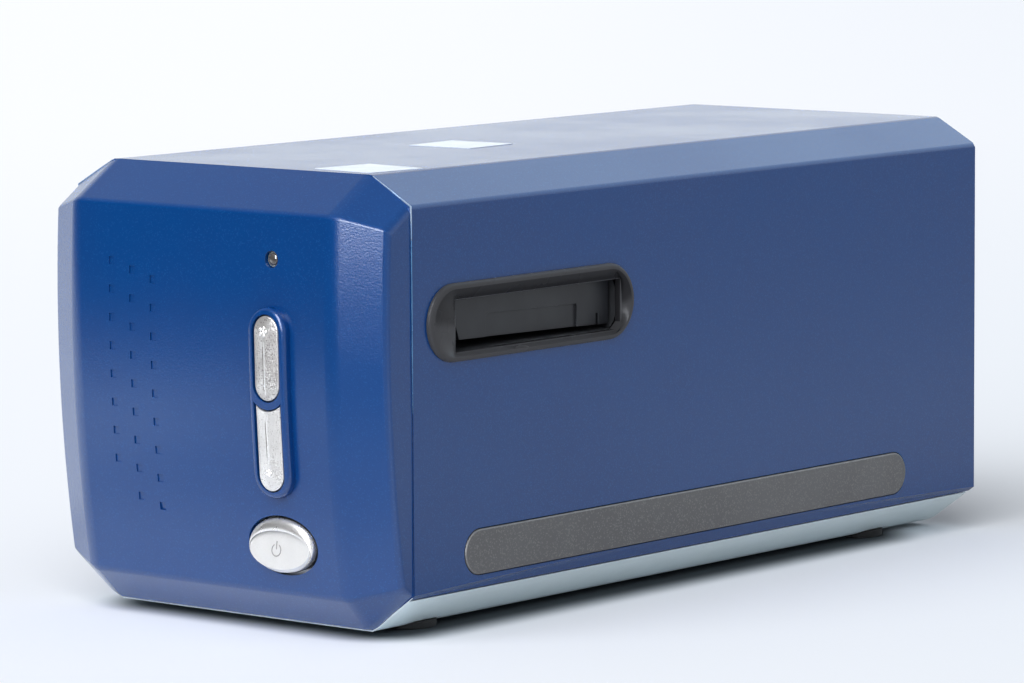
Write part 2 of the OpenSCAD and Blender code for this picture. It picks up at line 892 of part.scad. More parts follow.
module channel_rail_rear() {
    color("#33363a") placed()
        channel_rail(rail_rear_y0, rail_rear_y1, rail_rear_y0 - 1, rail_rear_y0 + spring_len);
}

module film_hood() {
    color("#3b3e43") placed() difference() {
        block(hood_x0, hood_x1, rail_front_y0, rail_rear_y1, hood_z0, hood_z0 + hood_t);
        gate_hole(hood_z0 - 1, hood_z0 + hood_t + 1);
        for (s = [-1, 1], y = [post_front_y, post_rear_y])
            pin_z(s * hood_screw_x, y, screw_hole_d, hood_z0 - 1, hood_z0 + hood_t + 1);
    }
}

module door_shafts() {
    color("#c3c7cb") placed() for (x = [door_axis_right, door_axis_left])
        pin_y(x, door_axis_z, shaft_d, rail_front_y1 - spring_len + 0.3, rail_rear_y0 + spring_len - 0.3);
}

module door_spring(x) {
    coil_len = (coil_turns - 1) * coil_pitch;
    coil_y = rail_front_y1 + 0.8;
    translate([x, coil_y, door_axis_z]) {
        rotate([-90, 0, 0]) for (i = [0 : coil_turns - 1])
            translate([0, 0, i * coil_pitch]) rotate_extrude() translate([coil_r, 0]) circle(d = wire_d);
        translate([0, -coil_y + rail_front_y1, coil_r])
            rotate([-90, 0, 0]) cylinder(d = wire_d * 0.9, h = coil_y - rail_front_y1 + coil_len + 0.5);
    }
}

module door_springs() {
    color("#b9bdc2") placed() {
        door_spring(door_axis_right);
        door_spring(door_axis_left);
    }
}

// A flap that hangs from its shaft; its outer face has a shallow rectangular recess
module dust_door(axis_x, side) {
    recess = 0.4;
    leaf_top = door_axis_z - coil_r - 0.9;
    knuckle_y0 = rail_front_y1 + spring_len;
    foot_front_z = hold_z0 + door_lift + door_skew;
    foot_back_z = hold_z0 + door_lift;
    color("#43474c") placed() translate([axis_x, 0, 0]) mirror([side < 0 ? 1 : 0, 0, 0])
    difference() {
        union() {
            along_x(-door_t / 2, door_t / 2) {
                polygon([
                    [door_y0, foot_front_z], [door_y1, foot_back_z],
                    [door_y1, leaf_top], [door_y0, leaf_top]
                ]);
                translate([knuckle_y0, leaf_top - 1]) square([door_y1 - knuckle_y0, door_axis_z - leaf_top + 1]);
            }
            pin_y(0, door_axis_z, 2 * knuckle_r, knuckle_y0, door_y1);
        }
        pin_y(0, door_axis_z, shaft_d + 2 * run_fit, knuckle_y0 - 1, door_y1 + 1);
        along_x(door_t / 2 - recess, door_t) {
            polygon([
                [door_y0 + 15.3, 0], [door_y0 + 15.3, leaf_top - 6.6],
                [door_y0 + 16.5, leaf_top - 6], [door_y1 - 13.2, leaf_top - 6.7], [door_y1 - 13.2, 0]
            ]);
        }
        along_x(-door_t, door_t) {
            polygon([[door_y0 - 1, 0], [door_y0 + 3.6, 0], [door_y0 + 4.6, foot_front_z],
                [door_y0 + 3.4, foot_front_z + 3.4], [door_y0 - 1, foot_front_z + 3.8]]);
            polygon([[door_y1 - 5.4, 0], [door_y1 - 5.2, foot_back_z + 3.2],
                [door_y1 - 4.2, foot_back_z + 3.2], [door_y1 - 3.6, 0]]);
        }
    }
}

module dust_door_right() { dust_door(door_axis_right, 1); }
module dust_door_left() { dust_door(door_axis_left, -1); }

/* Frames, rods and drive */

module frame_plate(y0, x_min, foot_y0) {
    difference() {
        union() {
            along_y(y0, y0 + plate_t) intersection() {
                polygon(inset(skin, frame_inset));
                translate([x_min, 0]) square([2 * body_w, 2 * body_h]);
            }
            block(-frame_foot_x, frame_foot_x, foot_y0, foot_y0 + frame_foot, floor_z, floor_z + plate_t);
            block(-frame_foot_x, frame_foot_x, y0, y0 + plate_t, floor_z, floor_z + plate_t + 2);
        }
        for (s = [-1, 1]) {
            pin_y(s * rod_x, rod_z, rod_d + 2 * seat_fit, y0 - 1, y0 + plate_t + 1);
            pin_z(s * frame_screw_x, foot_y0 + frame_foot / 2, screw_hole_d, floor_z - 1, floor_z + plate_t + 1);
        }
    }
}

// Round holes that let cables past a frame plate
module frame_holes(y0) {
    for (s = [-1, 1]) pin_y(s * frame_hole_x, frame_hole_z, frame_hole_d, y0 - 1, y0 + plate_t + 1);
}

module front_frame() {
    color("#9aa0a6") placed() difference() {
        frame_plate(frame_y, -body_w, frame_y + plate_t - eps);
        pin_y(0, screw_z, 2 * bearing_r + 2 * seat_fit, frame_y - 1, frame_y + plate_t + 1);
        for (s = [-1, 1], z = bezel_boss_z)
            pin_y(s * bezel_boss_x, z, screw_hole_d, frame_y - 1, frame_y + plate_t + 1);
        frame_holes(frame_y);
    }
}

module rear_frame() {
    color("#9aa0a6") placed() difference() {
        frame_plate(frame_back, frame_left, frame_back - frame_foot + eps);
        for (s = [-1, 1]) {
            pin_y(s * panel_screw_x, panel_screw_low, screw_shank_d + 2 * seat_fit,
                frame_back - 1, frame_back + plate_t + 1);
            pin_y(s * motor_ear_x, screw_z, screw_shank_d + 2 * seat_fit,
                frame_back - 1, frame_back + plate_t + 1);
        }
        frame_holes(frame_back);
    }
}

motor_ear_x = motor_d / 2 + 3.5;
ear_plate_t = 1.5;

module guide_rods() {
    color("#c9ccd0") placed() for (s = [-1, 1])
        pin_y(s * rod_x, rod_z, rod_d, frame_y, frame_back + plate_t);
}

module stepper_motor() {
    color("#8d9297") placed() difference() {
        union() {
            pin_y(0, screw_z, motor_d, motor_y0, frame_back);
            pin_y(0, screw_z, 8, motor_y0 - 1.5, motor_y0 + eps);
            along_y(frame_back - ear_plate_t, frame_back) translate([0, screw_z])
                stadium(2 * motor_ear_x + 8, 8);
        }
        pin_y(0, screw_z, motor_shaft_d + 2 * run_fit, motor_y0 - 2, frame_back - 3);
        for (s = [-1, 1])
            pin_y(s * motor_ear_x, screw_z, screw_hole_d, frame_back - ear_plate_t - 1, frame_back + 1);
    }
}

module motor_shaft() {
    color("#d0d3d6") placed() pin_y(0, screw_z, motor_shaft_d, coupler_y0 + coupler_len / 2 + 0.5, frame_back - 3.3);
}

module shaft_coupler() {
    mid = coupler_y0 + coupler_len / 2;
    color("#b4863c") placed() difference() {
        pin_y(0, screw_z, coupler_d, coupler_y0, coupler_y1);
        pin_y(0, screw_z, screw_d + 2 * seat_fit, coupler_y0 - 1, mid);
        pin_y(0, screw_z, motor_shaft_d + 2 * seat_fit, mid - 1, coupler_y1 + 1);
        for (y = [coupler_y0 + 3.5, coupler_y1 - 3.5])
            pin_z(0, y, 2.5, screw_z + 2, screw_z + coupler_d);
    }
}

module lead_screw() {
    color("#c3c6ca") placed() union() {
        pin_y(0, screw_z, screw_d, frame_y + 8, coupler_y0 + coupler_len / 2 - 0.5);
        pin_y(0, screw_z, journal_d, frame_y - 0.5, frame_y + 8 + eps);
    }
}

module screw_bearing() {
    color("#b08d4a") placed() difference() {
        union() {
            pin_y(0, screw_z, 2 * bearing_r, frame_y - 1, frame_y + plate_t + eps);
            pin_y(0, screw_z, 2 * bearing_r + 3, frame_y + plate_t, frame_y + plate_t + 2);
        }
        pin_y(0, screw_z, journal_d + 2 * run_fit, frame_y - 2, frame_y + plate_t + 3);
    }
}

/* Optics carriage */

module ear(y) {
    difference() {
        union() {
            pin_y(rod_x, rod_z, 2 * ear_r, y, y + bush_len);
            block(tray_x - tray_wall, rod_x + ear_r, y, y + bush_len, rod_z, tray_z0 + 6);
        }
        pin_y(rod_x, rod_z, 2 * bush_r + 2 * seat_fit, y - 1, y + bush_len + 1);
    }
}

module ear_bush(y) {
    difference() {
        pin_y(rod_x, rod_z, 2 * bush_r, y, y + bush_len);
        pin_y(rod_x, rod_z, rod_d + 2 * run_fit, y - 1, y + bush_len + 1);
    }
}

module at_ears() {
    for (y = ear_y) translate([0, y, 0]) children();
    mirror([1, 0, 0]) translate([0, ear_left_y, 0]) children();
}

flag_x = -25;
flag_t = 1;
sensor_window_h = sensor_h + 3;

module optics_carriage() {
    in_x = tray_x - tray_wall;
    in_z = tray_z0 + tray_wall;
    color("#2a2c30") placed() difference() {
        union() {
            difference() {
                block(-tray_x, tray_x, tray_y0, tray_y1, tray_z0, tray_top);
                block(-in_x, in_x, tray_y0 + tray_wall, tray_y1 - tray_wall, in_z, tray_top + 1);
            }
            at_ears() ear(0);
            // Seat of the lens barrel
            block(-in_x - eps, in_x + eps, lens_y + 4, lens_y + lens_len - 4, in_z - eps, axis_z);
            // Two wedges that the mirror leans on
            for (s = [-1, 1]) translate([s * (mirror_w / 2 - 3) - 2.5, 0, 0])
                along_x(0, 5) polygon([
                    [tray_y0 + 1, in_z - eps],
                    [line_y - mirror_t * sqrt(2) + axis_z - in_z - 0.1, in_z - eps],
                    [tray_y0 + 1, axis_z - (tray_y0 + 1 - line_y) - mirror_t * sqrt(2) - 0.1]
                ]);
            // Blade that the home sensor sees
            block(flag_x - flag_t / 2, flag_x + flag_t / 2, tray_y0, tray_y0 + 7, rod_z - 1, tray_z0 + eps);
        }
        pin_y(0, axis_z, lens_d + 2 * seat_fit, lens_y, lens_y + lens_len);
        for (s = [-1, 1])
            pin_z(s * post_screw_x, tower_y0 + tower_t / 2, screw_hole_d, tray_z0 - 1, in_z + 1);
        along_y(tray_y1 - tray_wall - 1, tray_y1 + 1) translate([0, axis_z])
            square([sensor_w + 4, sensor_window_h], center = true);
        for (s = [-1, 1])
            pin_y(s * sensor_screw_x, axis_z, small_screw_d + 2 * seat_fit, tray_y1 - tray_wall - 1, tray_y1 + 1);
    }
}

sensor_screw_x = tray_x - 4.5;

module fold_mirror() {
    color("#c9d6dc") placed() translate([0, line_y, axis_z]) rotate([-45, 0, 0])
        translate([-mirror_w / 2, -mirror_h / 2, -mirror_t]) cube([mirror_w, mirror_h, mirror_t]);
}

module lens_barrel() {
    color("#1d1e21") placed() difference() {
        pin_y(0, axis_z, lens_d, lens_y, lens_y + lens_len);
        pin_y(0, axis_z, lens_d - 5, lens_y - 1, lens_y + lens_len + 1);
    }
}

// One element of the lens: a disc with a bulging face at each end of the barrel
module lens_element(bulge) {
    r = lens_d / 2 - 2.5 - seat_fit;
    sphere_r = (r * r + bulge * bulge) / (2 * bulge);
    rotate_extrude() intersection() {
        translate([0, -3]) square([r, 6]);
        translate([0, sphere_r - 3]) circle(r = sphere_r, $fn = 180);
    }
}

module lens_glass() {
    color("#9fc0c8") placed() {
        translate([0, lens_y + 4, axis_z]) rotate([-90, 0, 0]) lens_element(2);
        translate([0, lens_y + lens_len - 4, axis_z]) rotate([90, 0, 0]) lens_element(2);
    }
}

module sensor_board() {
    color("#1f6b45") placed() difference() {
        block(-tray_x, tray_x, tray_y1, tray_y1 + board_t, tray_z0, axis_z + 14);
        for (s = [-1, 1])
            pin_y(s * sensor_screw_x, axis_z, small_screw_d + 0.4, tray_y1 - 1, tray_y1 + board_t + 1);
    }
}

module line_sensor() {
    color("#3c3f45") placed()
        block(-sensor_w / 2, sensor_w / 2, tray_y1 - 5, tray_y1, axis_z - sensor_h / 2, axis_z + sensor_h / 2);
}

// Bulkhead across the carriage, with a window for the light and a column that carries the lamp arm
module lamp_post() {
    in_x = tray_x - tray_wall - drop_fit;
    in_z = tray_z0 + tray_wall;
    mid_y = tower_y0 + tower_t / 2;
    color("#303338") placed() difference() {
        union() {
            block(-in_x, in_x, tower_y0, tower_y0 + tower_t, in_z, axis_z + beam_h);
            block(-tower_w / 2, tower_w / 2, tower_y0, tower_y0 + tower_t, axis_z + beam_h - eps, arm_z0);
        }
        block(-beam_w / 2, beam_w / 2, tower_y0 - 1, tower_y0 + tower_t + 1, axis_z - beam_h / 2, axis_z + beam_h / 2);
        for (s = [-1, 1]) {
            pin_z(s * post_screw_x, mid_y, screw_shank_d + 2 * seat_fit, in_z - 1, in_z + 8);
            pin_z(s * (tower_w / 2 - 5), mid_y, screw_shank_d + 2 * seat_fit, arm_z0 - 8, arm_z0 + 1);
        }
    }
}

module lamp_arm() {
    color("#8f959a") placed() difference() {
        block(-tower_w / 2, tower_w / 2, line_y - lamp_deep / 2 + 3, tower_y0 + tower_t, arm_z0, arm_z0 + arm_t);
        for (s = [-1, 1]) {
            pin_z(s * (tower_w / 2 - 5), tower_y0 + tower_t / 2, screw_hole_d, arm_z0 - 1, arm_z0 + arm_t + 1);
            pin_z(s * (tower_w / 2 - 5), line_y, screw_hole_d, arm_z0 - 1, arm_z0 + arm_t + 1);
        }
    }
}

module lamp_housing() {
    y0 = line_y - lamp_deep / 2;
    color("#d8dad8") placed() difference() {
        block(-lamp_w / 2, lamp_w / 2, y0, y0 + lamp_deep, lamp_z0, arm_z0);
        block(-lamp_w / 2 + 1.5, lamp_w / 2 - 1.5, line_y - 4, line_y + 4, lamp_z0 - 1, lamp_z0 + 4);
        for (s = [-1, 1])
            pin_z(s * (tower_w / 2 - 5), line_y, screw_shank_d + 2 * seat_fit, arm_z0 - 2.4, arm_z0 + 1);
    }
}

module lamp_board() {
    color("#e3e6dc") placed() {
        block(-lamp_w / 2 + 2, lamp_w / 2 - 2, line_y - 3.5, line_y + 3.5, lamp_z0 + 3, lamp_z0 + 4);
        for (i = [-3 : 3])
            block(i * 6 - 1.5, i * 6 + 1.5, line_y - 1.5, line_y + 1.5, lamp_z0 + 2.2, lamp_z0 + 3);
    }
}

module lamp_diffuser() {
    color("#f4f4ee") placed()
        block(-lamp_w / 2 + 1.5, lamp_w / 2 - 1.5, line_y - 4, line_y + 4, lamp_z0, lamp_z0 + 1.2);
}

module carriage_bushes() {
    color("#b98f4e") placed() at_ears() ear_bush(0);
}

module drive_nut() {
    color("#d9d2bd") placed() difference() {
        block(-nut_w / 2, nut_w / 2, nut_y, nut_y + nut_len, screw_z - screw_d / 2 - 3, tray_z0);
        pin_y(0, screw_z, screw_d + 2 * run_fit, nut_y - 1, nut_y + nut_len + 1);
    }
}

module carriage_screws() {
    color("#7f8387") placed() for (s = [-1, 1]) {
        screw_z(s * (tower_w / 2 - 5), tower_y0 + tower_t / 2, arm_z0 - 7, arm_z0 + arm_t);
        screw_z(s * (tower_w / 2 - 5), line_y, arm_z0 - 2.2, arm_z0 + arm_t);
        screw_up(s * post_screw_x, tower_y0 + tower_t / 2, tray_z0, tray_z0 + tray_wall + 7);
        pin_y(s * sensor_screw_x, axis_z, small_screw_d, tray_y1 - tray_wall, tray_y1 + board_t);
        pin_y(s * sensor_screw_x, axis_z, 4, tray_y1 + board_t, tray_y1 + board_t + 1.2);
    }
}

/* Boards and sockets */

module main_board() {
    color("#1f6b45") placed() difference() {
        block(board_x, board_x + board_t, main_board_y0, main_board_y1, main_board_z0, main_board_z1);
        for (y = board_post_y)
            pin_x(board_x - 1, board_x + board_t + 1, y + 4, board_screw_z, small_screw_d + 0.4);
    }
}

module board_parts() {
    x0 = board_x + board_t;
    chip_y = (main_board_y0 + frame_back) / 2;
    memory_y = frame_back - 8.8;
    color("#26282b") placed() {
        block(x0, x0 + 1.4, chip_y - chip_w / 2, chip_y + chip_w / 2,
            main_board_z0 + 40, main_board_z0 + 40 + chip_w);
        block(x0, x0 + 1.2, memory_y - memory_w / 2, memory_y + memory_w / 2,
            main_board_z1 - 35.5, main_board_z1 - 35.5 + 10);
        block(x0, x0 + 3.5, main_board_y0 + 6, main_board_y0 + 12, main_board_z1 - 57, main_board_z1 - 25);
        for (i = [0 : 2]) pin_x(x0, x0 + 6.5, main_board_y0 + 28 + 9 * i, main_board_z0 + 24, capacitor_d);
        block(x0, x0 + 5, memory_y - 4, memory_y + 4, main_board_z1 - 17.5, main_board_z1 - 7.5);
    }
}

module usb_socket() {
    y1 = panel_y0 + panel_t - 1.2;
    color("#aeb4b8") placed() {
        difference() {
            block(usb_x0, usb_x0 + usb_w, y1 - usb_len, y1, usb_z, usb_z + usb_h);
            block(usb_x0 + 1.7, usb_x0 + usb_w - 1.7, y1 - usb_len + 3, y1 + 1, usb_z + 1.6, usb_z + usb_h - 1.6);
        }
        block(usb_x0 + 3.2, usb_x0 + usb_w - 3.2, y1 - usb_len + 3 - eps, y1 - 4.5, usb_z + 4, usb_z + usb_h - 4);
    }
}

module power_jack() {
    y1 = panel_y0 + panel_t - 1.2;
    mid_x = usb_x0 + jack_w / 2;
    mid_z = jack_z + jack_h / 2;
    color("#1b1c1f") placed() {
        difference() {
            block(usb_x0, usb_x0 + jack_w, y1 - jack_len, y1, jack_z, jack_z + jack_h);
            pin_y(mid_x, mid_z, 6.3, y1 - jack_len + 3, y1 + 1);
        }
        pin_y(mid_x, mid_z, 2, y1 - jack_len + 3 - eps, y1 - 1.5);
    }
}

btn_board_z0 = foot_drop + 10.6;
btn_board_z1 = led_z + 5.2;

module button_board() {
    color("#1f6b45") placed() difference() {
        block(btn_x - btn_board_w / 2, btn_x + btn_board_w / 2, btn_board_y, btn_board_y + board_t,
            btn_board_z0, btn_board_z1);
        for (s = [-1, 1], z = board_boss_z)
            pin_y(btn_x + s * board_boss_dx, z, small_screw_d + 0.4, btn_board_y - 1, btn_board_y + board_t + 1);
    }
}

lower_mid = (lower_low + upper_low - lower_gap_r) / 2;
switch_z = [btn_z, lower_mid, power_z];

module button_switches() {
    y0 = btn_board_y - switch_tall;
    color("#202225") placed() for (z = switch_z) difference() {
        block(btn_x - switch_size / 2, btn_x + switch_size / 2, y0, btn_board_y,
            z - switch_size / 2, z + switch_size / 2);
        pin_y(btn_x, z, plunger_d + 2 * run_fit, y0 - 1, y0 + plunger_in + power_travel + 0.2);
    }
}

module plunger(z) {
    placed() pin_y(btn_x, z, plunger_d, plunger_tip, btn_board_y - switch_tall + plunger_in);
}

module plunger_upper() { color("#b7a98a") plunger(btn_z); }
module plunger_lower() { color("#b7a98a") plunger(lower_mid); }
module plunger_power() { color("#b7a98a") plunger(power_z); }

module status_led() {
    color("#d9e4e0") placed() {
        pin_y(btn_x, led_z, 3, btn_board_y - 4, btn_board_y);
        pin_y(btn_x, led_z, 3.8, btn_board_y - 1, btn_board_y);
    }
}

module light_pipe() {
    inner_y = face_at(led_z, face_depth - wall) + 0.15;
    color("#cfd8dc") placed() {
        pin_y(btn_x, led_z, led_d - 2 * drop_fit, inner_y - wall + 0.8, inner_y + eps);
        pin_y(btn_x, led_z, led_d + 2.4, inner_y, inner_y + 1);
        pin_y(btn_x, led_z, led_d - 2 * drop_fit, inner_y + 1 - eps, btn_board_y - 4.3);
    }
}

module home_sensor() {
    slot_w = 3;
    stand = 4;
    color("#232529") placed() difference() {
        block(flag_x - stand - 1, flag_x + stand + 1, tray_y0 - 1.5, tray_y0 + 6, floor_z, tray_z0 - 1);
        block(flag_x - slot_w / 2, flag_x + slot_w / 2, tray_y0 - 3, tray_y0 + 8 + far, rod_z - 2, tray_z0);
    }
}

/* Buttons */

// The crowned front of a scan button between two end heights, a little wider than the button itself
module crowned_block(z0, z1) {
    crown_w = 1.2;
    rim = face_depth + island_out - 0.4;
    hull() for (z = [z0, z1]) {
        translate([btn_x, face_at(z, rim), z])
            rotate([-90, 0, 0]) cylinder(d = btn_w + 2 * btn_gap, h = face_depth, $fn = hull_fn);
        translate([btn_x, face_at(z, face_depth + btn_proud), z])
            rotate([-90, 0, 0]) cylinder(d = crown_w, h = 1, $fn = hull_fn);
    }
}

// The flat flange lies just behind the innermost point of the curved wall
function flange_y(z0, z1) = max(face_at(z0, face_depth - wall), face_at(z1, face_depth - wall)) + 0.35;

module stem(z, y0) {
    pin_y(btn_x, z, stem_d, y0, plunger_tip);
}

module scan_button_upper() {
    z0 = upper_low;
    z1 = btn_z + btn_len / 2 - btn_w / 2;
    fy = flange_y(z0 - btn_w / 2, z1);
    color("#c4c6ca") placed() {
        intersection() {
            crowned_block(z0, z1);
            along_y(-far, fy + flange_t / 2) upper_outline(0);
        }
        along_y(fy, fy + flange_t) upper_outline(btn_gap + flange_out);
        stem(btn_z, fy);
    }
}

module scan_button_lower() {
    fy = flange_y(lower_low - btn_w / 2 - flange_out, upper_low);
    color("#c4c6ca") placed() {
        intersection() {
            crowned_block(lower_low, upper_low);
            along_y(-far, fy + flange_t / 2) lower_outline(0);
        }
        difference() {
            along_y(fy, fy + flange_t) lower_outline(btn_gap + flange_out - 0.1);
            along_y(-far, far) translate([btn_x, upper_low])
                circle(r = btn_w / 2 + btn_gap + flange_out + 0.4);
        }
        stem(lower_mid, fy);
    }
}

module power_button() {
    tilt = asin((face_peak_up - power_up) / face_r);
    face_mid = face_at(power_z, face_depth);
    fy = flange_y(power_z - power_h / 2 - flange_out, power_z);
    color("#cfd1d4") placed() {
        hull() {
            translate([btn_x, face_mid, power_z]) rotate([-tilt, 0, 0]) rotate([90, 0, 0])
                linear_extrude(eps) polygon(ellipse(power_w / 2 - power_gap, power_h / 2 - power_gap, hull_fn));
            translate([btn_x, face_mid, power_z]) rotate([-tilt, 0, 0])
                translate([0, -power_out, -power_face_drop]) rotate([90, 0, 0])
                linear_extrude(eps) polygon(ellipse(power_face_w / 2, power_face_h / 2, hull_fn));
            along_y(fy, fy + flange_t) translate([btn_x, power_z])
                polygon(ellipse(power_w / 2 - power_gap, power_h / 2 - power_gap, hull_fn));
        }
        along_y(fy, fy + flange_t) power_outline(flange_out);
        stem(power_z, fy);
    }
}

/* Fasteners */

module bezel_screws() {
    color("#7f8387") placed() for (s = [-1, 1], z = bezel_boss_z)
        screw_y(s * bezel_boss_x, z, frame_y - 10, frame_y + plate_t, false);
}

module frame_screws() {
    color("#7f8387") placed() for (s = [-1, 1]) {
        for (y = [frame_y + plate_t + frame_foot / 2, frame_back - frame_foot / 2])
            screw_z(s * frame_screw_x, y, foot_drop + 0.4, floor_z + plate_t);
        screw_y(s * motor_ear_x, screw_z, frame_back - ear_plate_t, frame_back + plate_t);
    }
}

module deck_screws() {
    color("#7f8387") placed() for (s = [-1, 1], y = [post_front_y, post_rear_y]) {
        screw_z(s * post_x, y, deck_z0 - 8, tower_z);
        screw_z(s * hood_screw_x, y, hood_z0 - 7, hood_z0 + hood_t);
    }
}

module rear_screws() {
    color("#7f8387") placed() for (s = [-1, 1]) {
        screw_y(s * panel_screw_x, panel_screw_low, frame_back, panel_y0 + 1.2, false);
        screw_y(s * panel_screw_x, panel_screw_high, panel_y0 - tab_len + 1, panel_y0 + 1.2, false);
    }
}

module board_screws() {
    color("#7f8387") placed() {
        for (y = board_post_y) {
            pin_x(board_x - 3.6, board_x + board_t, y + 4, board_screw_z, small_screw_d);
            pin_x(board_x + board_t, board_x + board_t + 1.2, y + 4, board_screw_z, 4);
        }
        for (s = [-1, 1], z = board_boss_z) {
            pin_y(btn_x + s * board_boss_dx, z, small_screw_d, btn_board_y - 6, btn_board_y + board_t);
            pin_y(btn_x + s * board_boss_dx, z, 4, btn_board_y + board_t, btn_board_y + board_t + 1.2);
        }
    }
}

front_bezel();
top_cover();
base_tray();
rear_panel();
slot_trim_right();
slot_trim_left();
side_pad_right();
side_pad_left();
rubber_feet();
front_frame();
rear_frame();
film_deck();
channel_rail_front();
channel_rail_rear();
film_hood();
door_shafts();
door_springs();
guide_rods();
stepper_motor();
screw_bearing();
main_board();
board_parts();
usb_socket();
power_jack();
button_board();
button_switches();
status_led();
light_pipe();
home_sensor();
bezel_screws();
frame_screws();
deck_screws();
rear_screws();
board_screws();
top_labels();
dust_door_right();
dust_door_left();
optics_carriage();
fold_mirror();
lens_barrel();
lens_glass();
sensor_board();
line_sensor();
lamp_post();
lamp_arm();
lamp_housing();
lamp_board();
lamp_diffuser();
carriage_bushes();
drive_nut();
carriage_screws();
lead_screw();
shaft_coupler();
motor_shaft();
scan_button_upper();
scan_button_lower();
power_button();
plunger_upper();
plunger_lower();
plunger_power();
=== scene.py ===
"""Desktop film negative scanner: housing, film passage, carriage drive and boards."""
import json
from math import asin, copysign, cos, degrees, hypot, pi, radians, sin, sqrt

import bmesh
import bpy
from mathutils import Matrix, Vector
from mathutils.bvhtree import BVHTree
from mathutils.geometry import tessellate_polygon


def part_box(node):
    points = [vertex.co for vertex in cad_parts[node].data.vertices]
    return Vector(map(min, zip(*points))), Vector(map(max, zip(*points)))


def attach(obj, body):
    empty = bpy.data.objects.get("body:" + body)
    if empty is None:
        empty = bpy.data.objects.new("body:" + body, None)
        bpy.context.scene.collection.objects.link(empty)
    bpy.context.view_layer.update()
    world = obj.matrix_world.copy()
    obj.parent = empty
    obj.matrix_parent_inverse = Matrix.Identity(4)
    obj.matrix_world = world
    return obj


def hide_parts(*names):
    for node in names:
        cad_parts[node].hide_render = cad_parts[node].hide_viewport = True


MM = 0.001

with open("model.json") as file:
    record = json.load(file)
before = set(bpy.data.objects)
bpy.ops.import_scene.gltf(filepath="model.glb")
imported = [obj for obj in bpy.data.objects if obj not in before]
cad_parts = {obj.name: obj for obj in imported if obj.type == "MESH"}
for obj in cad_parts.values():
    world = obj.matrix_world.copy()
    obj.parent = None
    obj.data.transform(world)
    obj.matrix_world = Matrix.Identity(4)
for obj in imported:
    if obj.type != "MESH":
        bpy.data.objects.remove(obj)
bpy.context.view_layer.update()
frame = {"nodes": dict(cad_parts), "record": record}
cad = frame["nodes"]
body_of = {node: body for body, nodes in frame["record"]["behaviour"]["bodies"].items()
           for node in nodes}
slot_of = {part["node"]: part["material_slot"] for part in frame["record"]["subparts"]}


# ---- shader building blocks

def wire(tree, kind, inputs=None, **settings):
    """One node with its settings, and its inputs set or linked. kind: a shader node's type without
    its ShaderNode, or a geometry node's whole type."""
    made = tree.nodes.new(kind if kind.startswith("Geometry") else "ShaderNode" + kind)
    for name, value in settings.items():
        setattr(made, name, value)
    for key, value in (inputs or {}).items():
        if isinstance(value, bpy.types.NodeSocket):
            tree.links.new(value, made.inputs[key])
        else:
            made.inputs[key].default_value = value
    return made


def maths(tree, operation, *values, clamp=False):
    return wire(tree, "Math", dict(enumerate(values)), operation=operation,
                use_clamp=clamp).outputs[0]


def product(tree, first, *others):
    for other in others:
        first = maths(tree, "MULTIPLY", first, other)
    return first


def dot(tree, place, way):
    return wire(tree, "VectorMath", {0: place, 1: way}, operation="DOT_PRODUCT").outputs["Value"]


def ramp(tree, value, low, high, to_low=0.0, to_high=1.0, smooth=True):
    """Value between low and high carried to between to_low and to_high."""
    return wire(tree, "MapRange", {0: value, 1: low, 2: high, 3: to_low, 4: to_high},
                interpolation_type="SMOOTHSTEP" if smooth else "LINEAR").outputs[0]


def zone(tree, spot, *limits):
    """1 inside a soft-edged zone, 0 outside. limits: (axis, where it starts, where it is full)."""
    return product(tree, *(ramp(tree, spot[axis], start, full) for axis, start, full in limits))


def blend_value(tree, share, first, second):
    return wire(tree, "Mix", {0: share, 2: first, 3: second}).outputs[0]


def blend_colour(tree, share, first, second):
    return wire(tree, "Mix", {0: share, 6: first, 7: second}, data_type="RGBA").outputs[2]


def rgba(colour, share=1.0):
    """A colour, or the grey of one number, as a colour socket takes it."""
    parts = colour if isinstance(colour, tuple) else (colour,) * 3
    return (*(part * share for part in parts), 1.0)


def paint(tree, base, *coats):
    """Colours laid over a base one after the other. coats: (share, colour)."""
    for share, colour in coats:
        base = blend_colour(tree, share, base, rgba(colour))
    return base


def new_socket(tree, name, kind, way="INPUT"):
    return tree.interface.new_socket(name=name, in_out=way, socket_type="NodeSocket" + kind)


def new_effect(name, *gives, **takes):
    """A shader node group: its tree, its place input, all its inputs and its outputs."""
    tree = bpy.data.node_groups.new(name, "ShaderNodeTree")
    new_socket(tree, "Place", "Vector")
    for label, value in takes.items():
        new_socket(tree, label, "Float").default_value = value
    for label in gives:
        new_socket(tree, label, "Float", "OUTPUT")
    given = tree.nodes.new("NodeGroupInput").outputs
    return tree, given["Place"], given, tree.nodes.new("NodeGroupOutput").inputs


def per_mm(tree, size):
    """The texture scale that gives features of a size in mm."""
    return maths(tree, "DIVIDE", 1.0, size)


def noise_value(tree, place, scale, detail, roughness):
    return wire(tree, "TexNoise", {
        "Vector": place, "Scale": scale, "Detail": detail, "Roughness": roughness}).outputs[0]


def grain_effect():
    """Mould grain: small uneven pebbles with finer grit on them."""
    tree, place, given, out = new_effect("moulded grain", "Height", Size=0.5, Grit=0.4)
    scale = per_mm(tree, given["Size"])
    pebbles = wire(tree, "TexVoronoi", {
        "Vector": place, "Scale": scale, "Smoothness": 0.6}, feature="SMOOTH_F1")
    grit = noise_value(tree, place, product(tree, scale, 1.7), 2.0, 0.6)
    height = maths(tree, "SUBTRACT", 1.0, pebbles.outputs["Distance"])
    tree.links.new(blend_value(tree, given["Grit"], height, grit), out["Height"])
    return tree


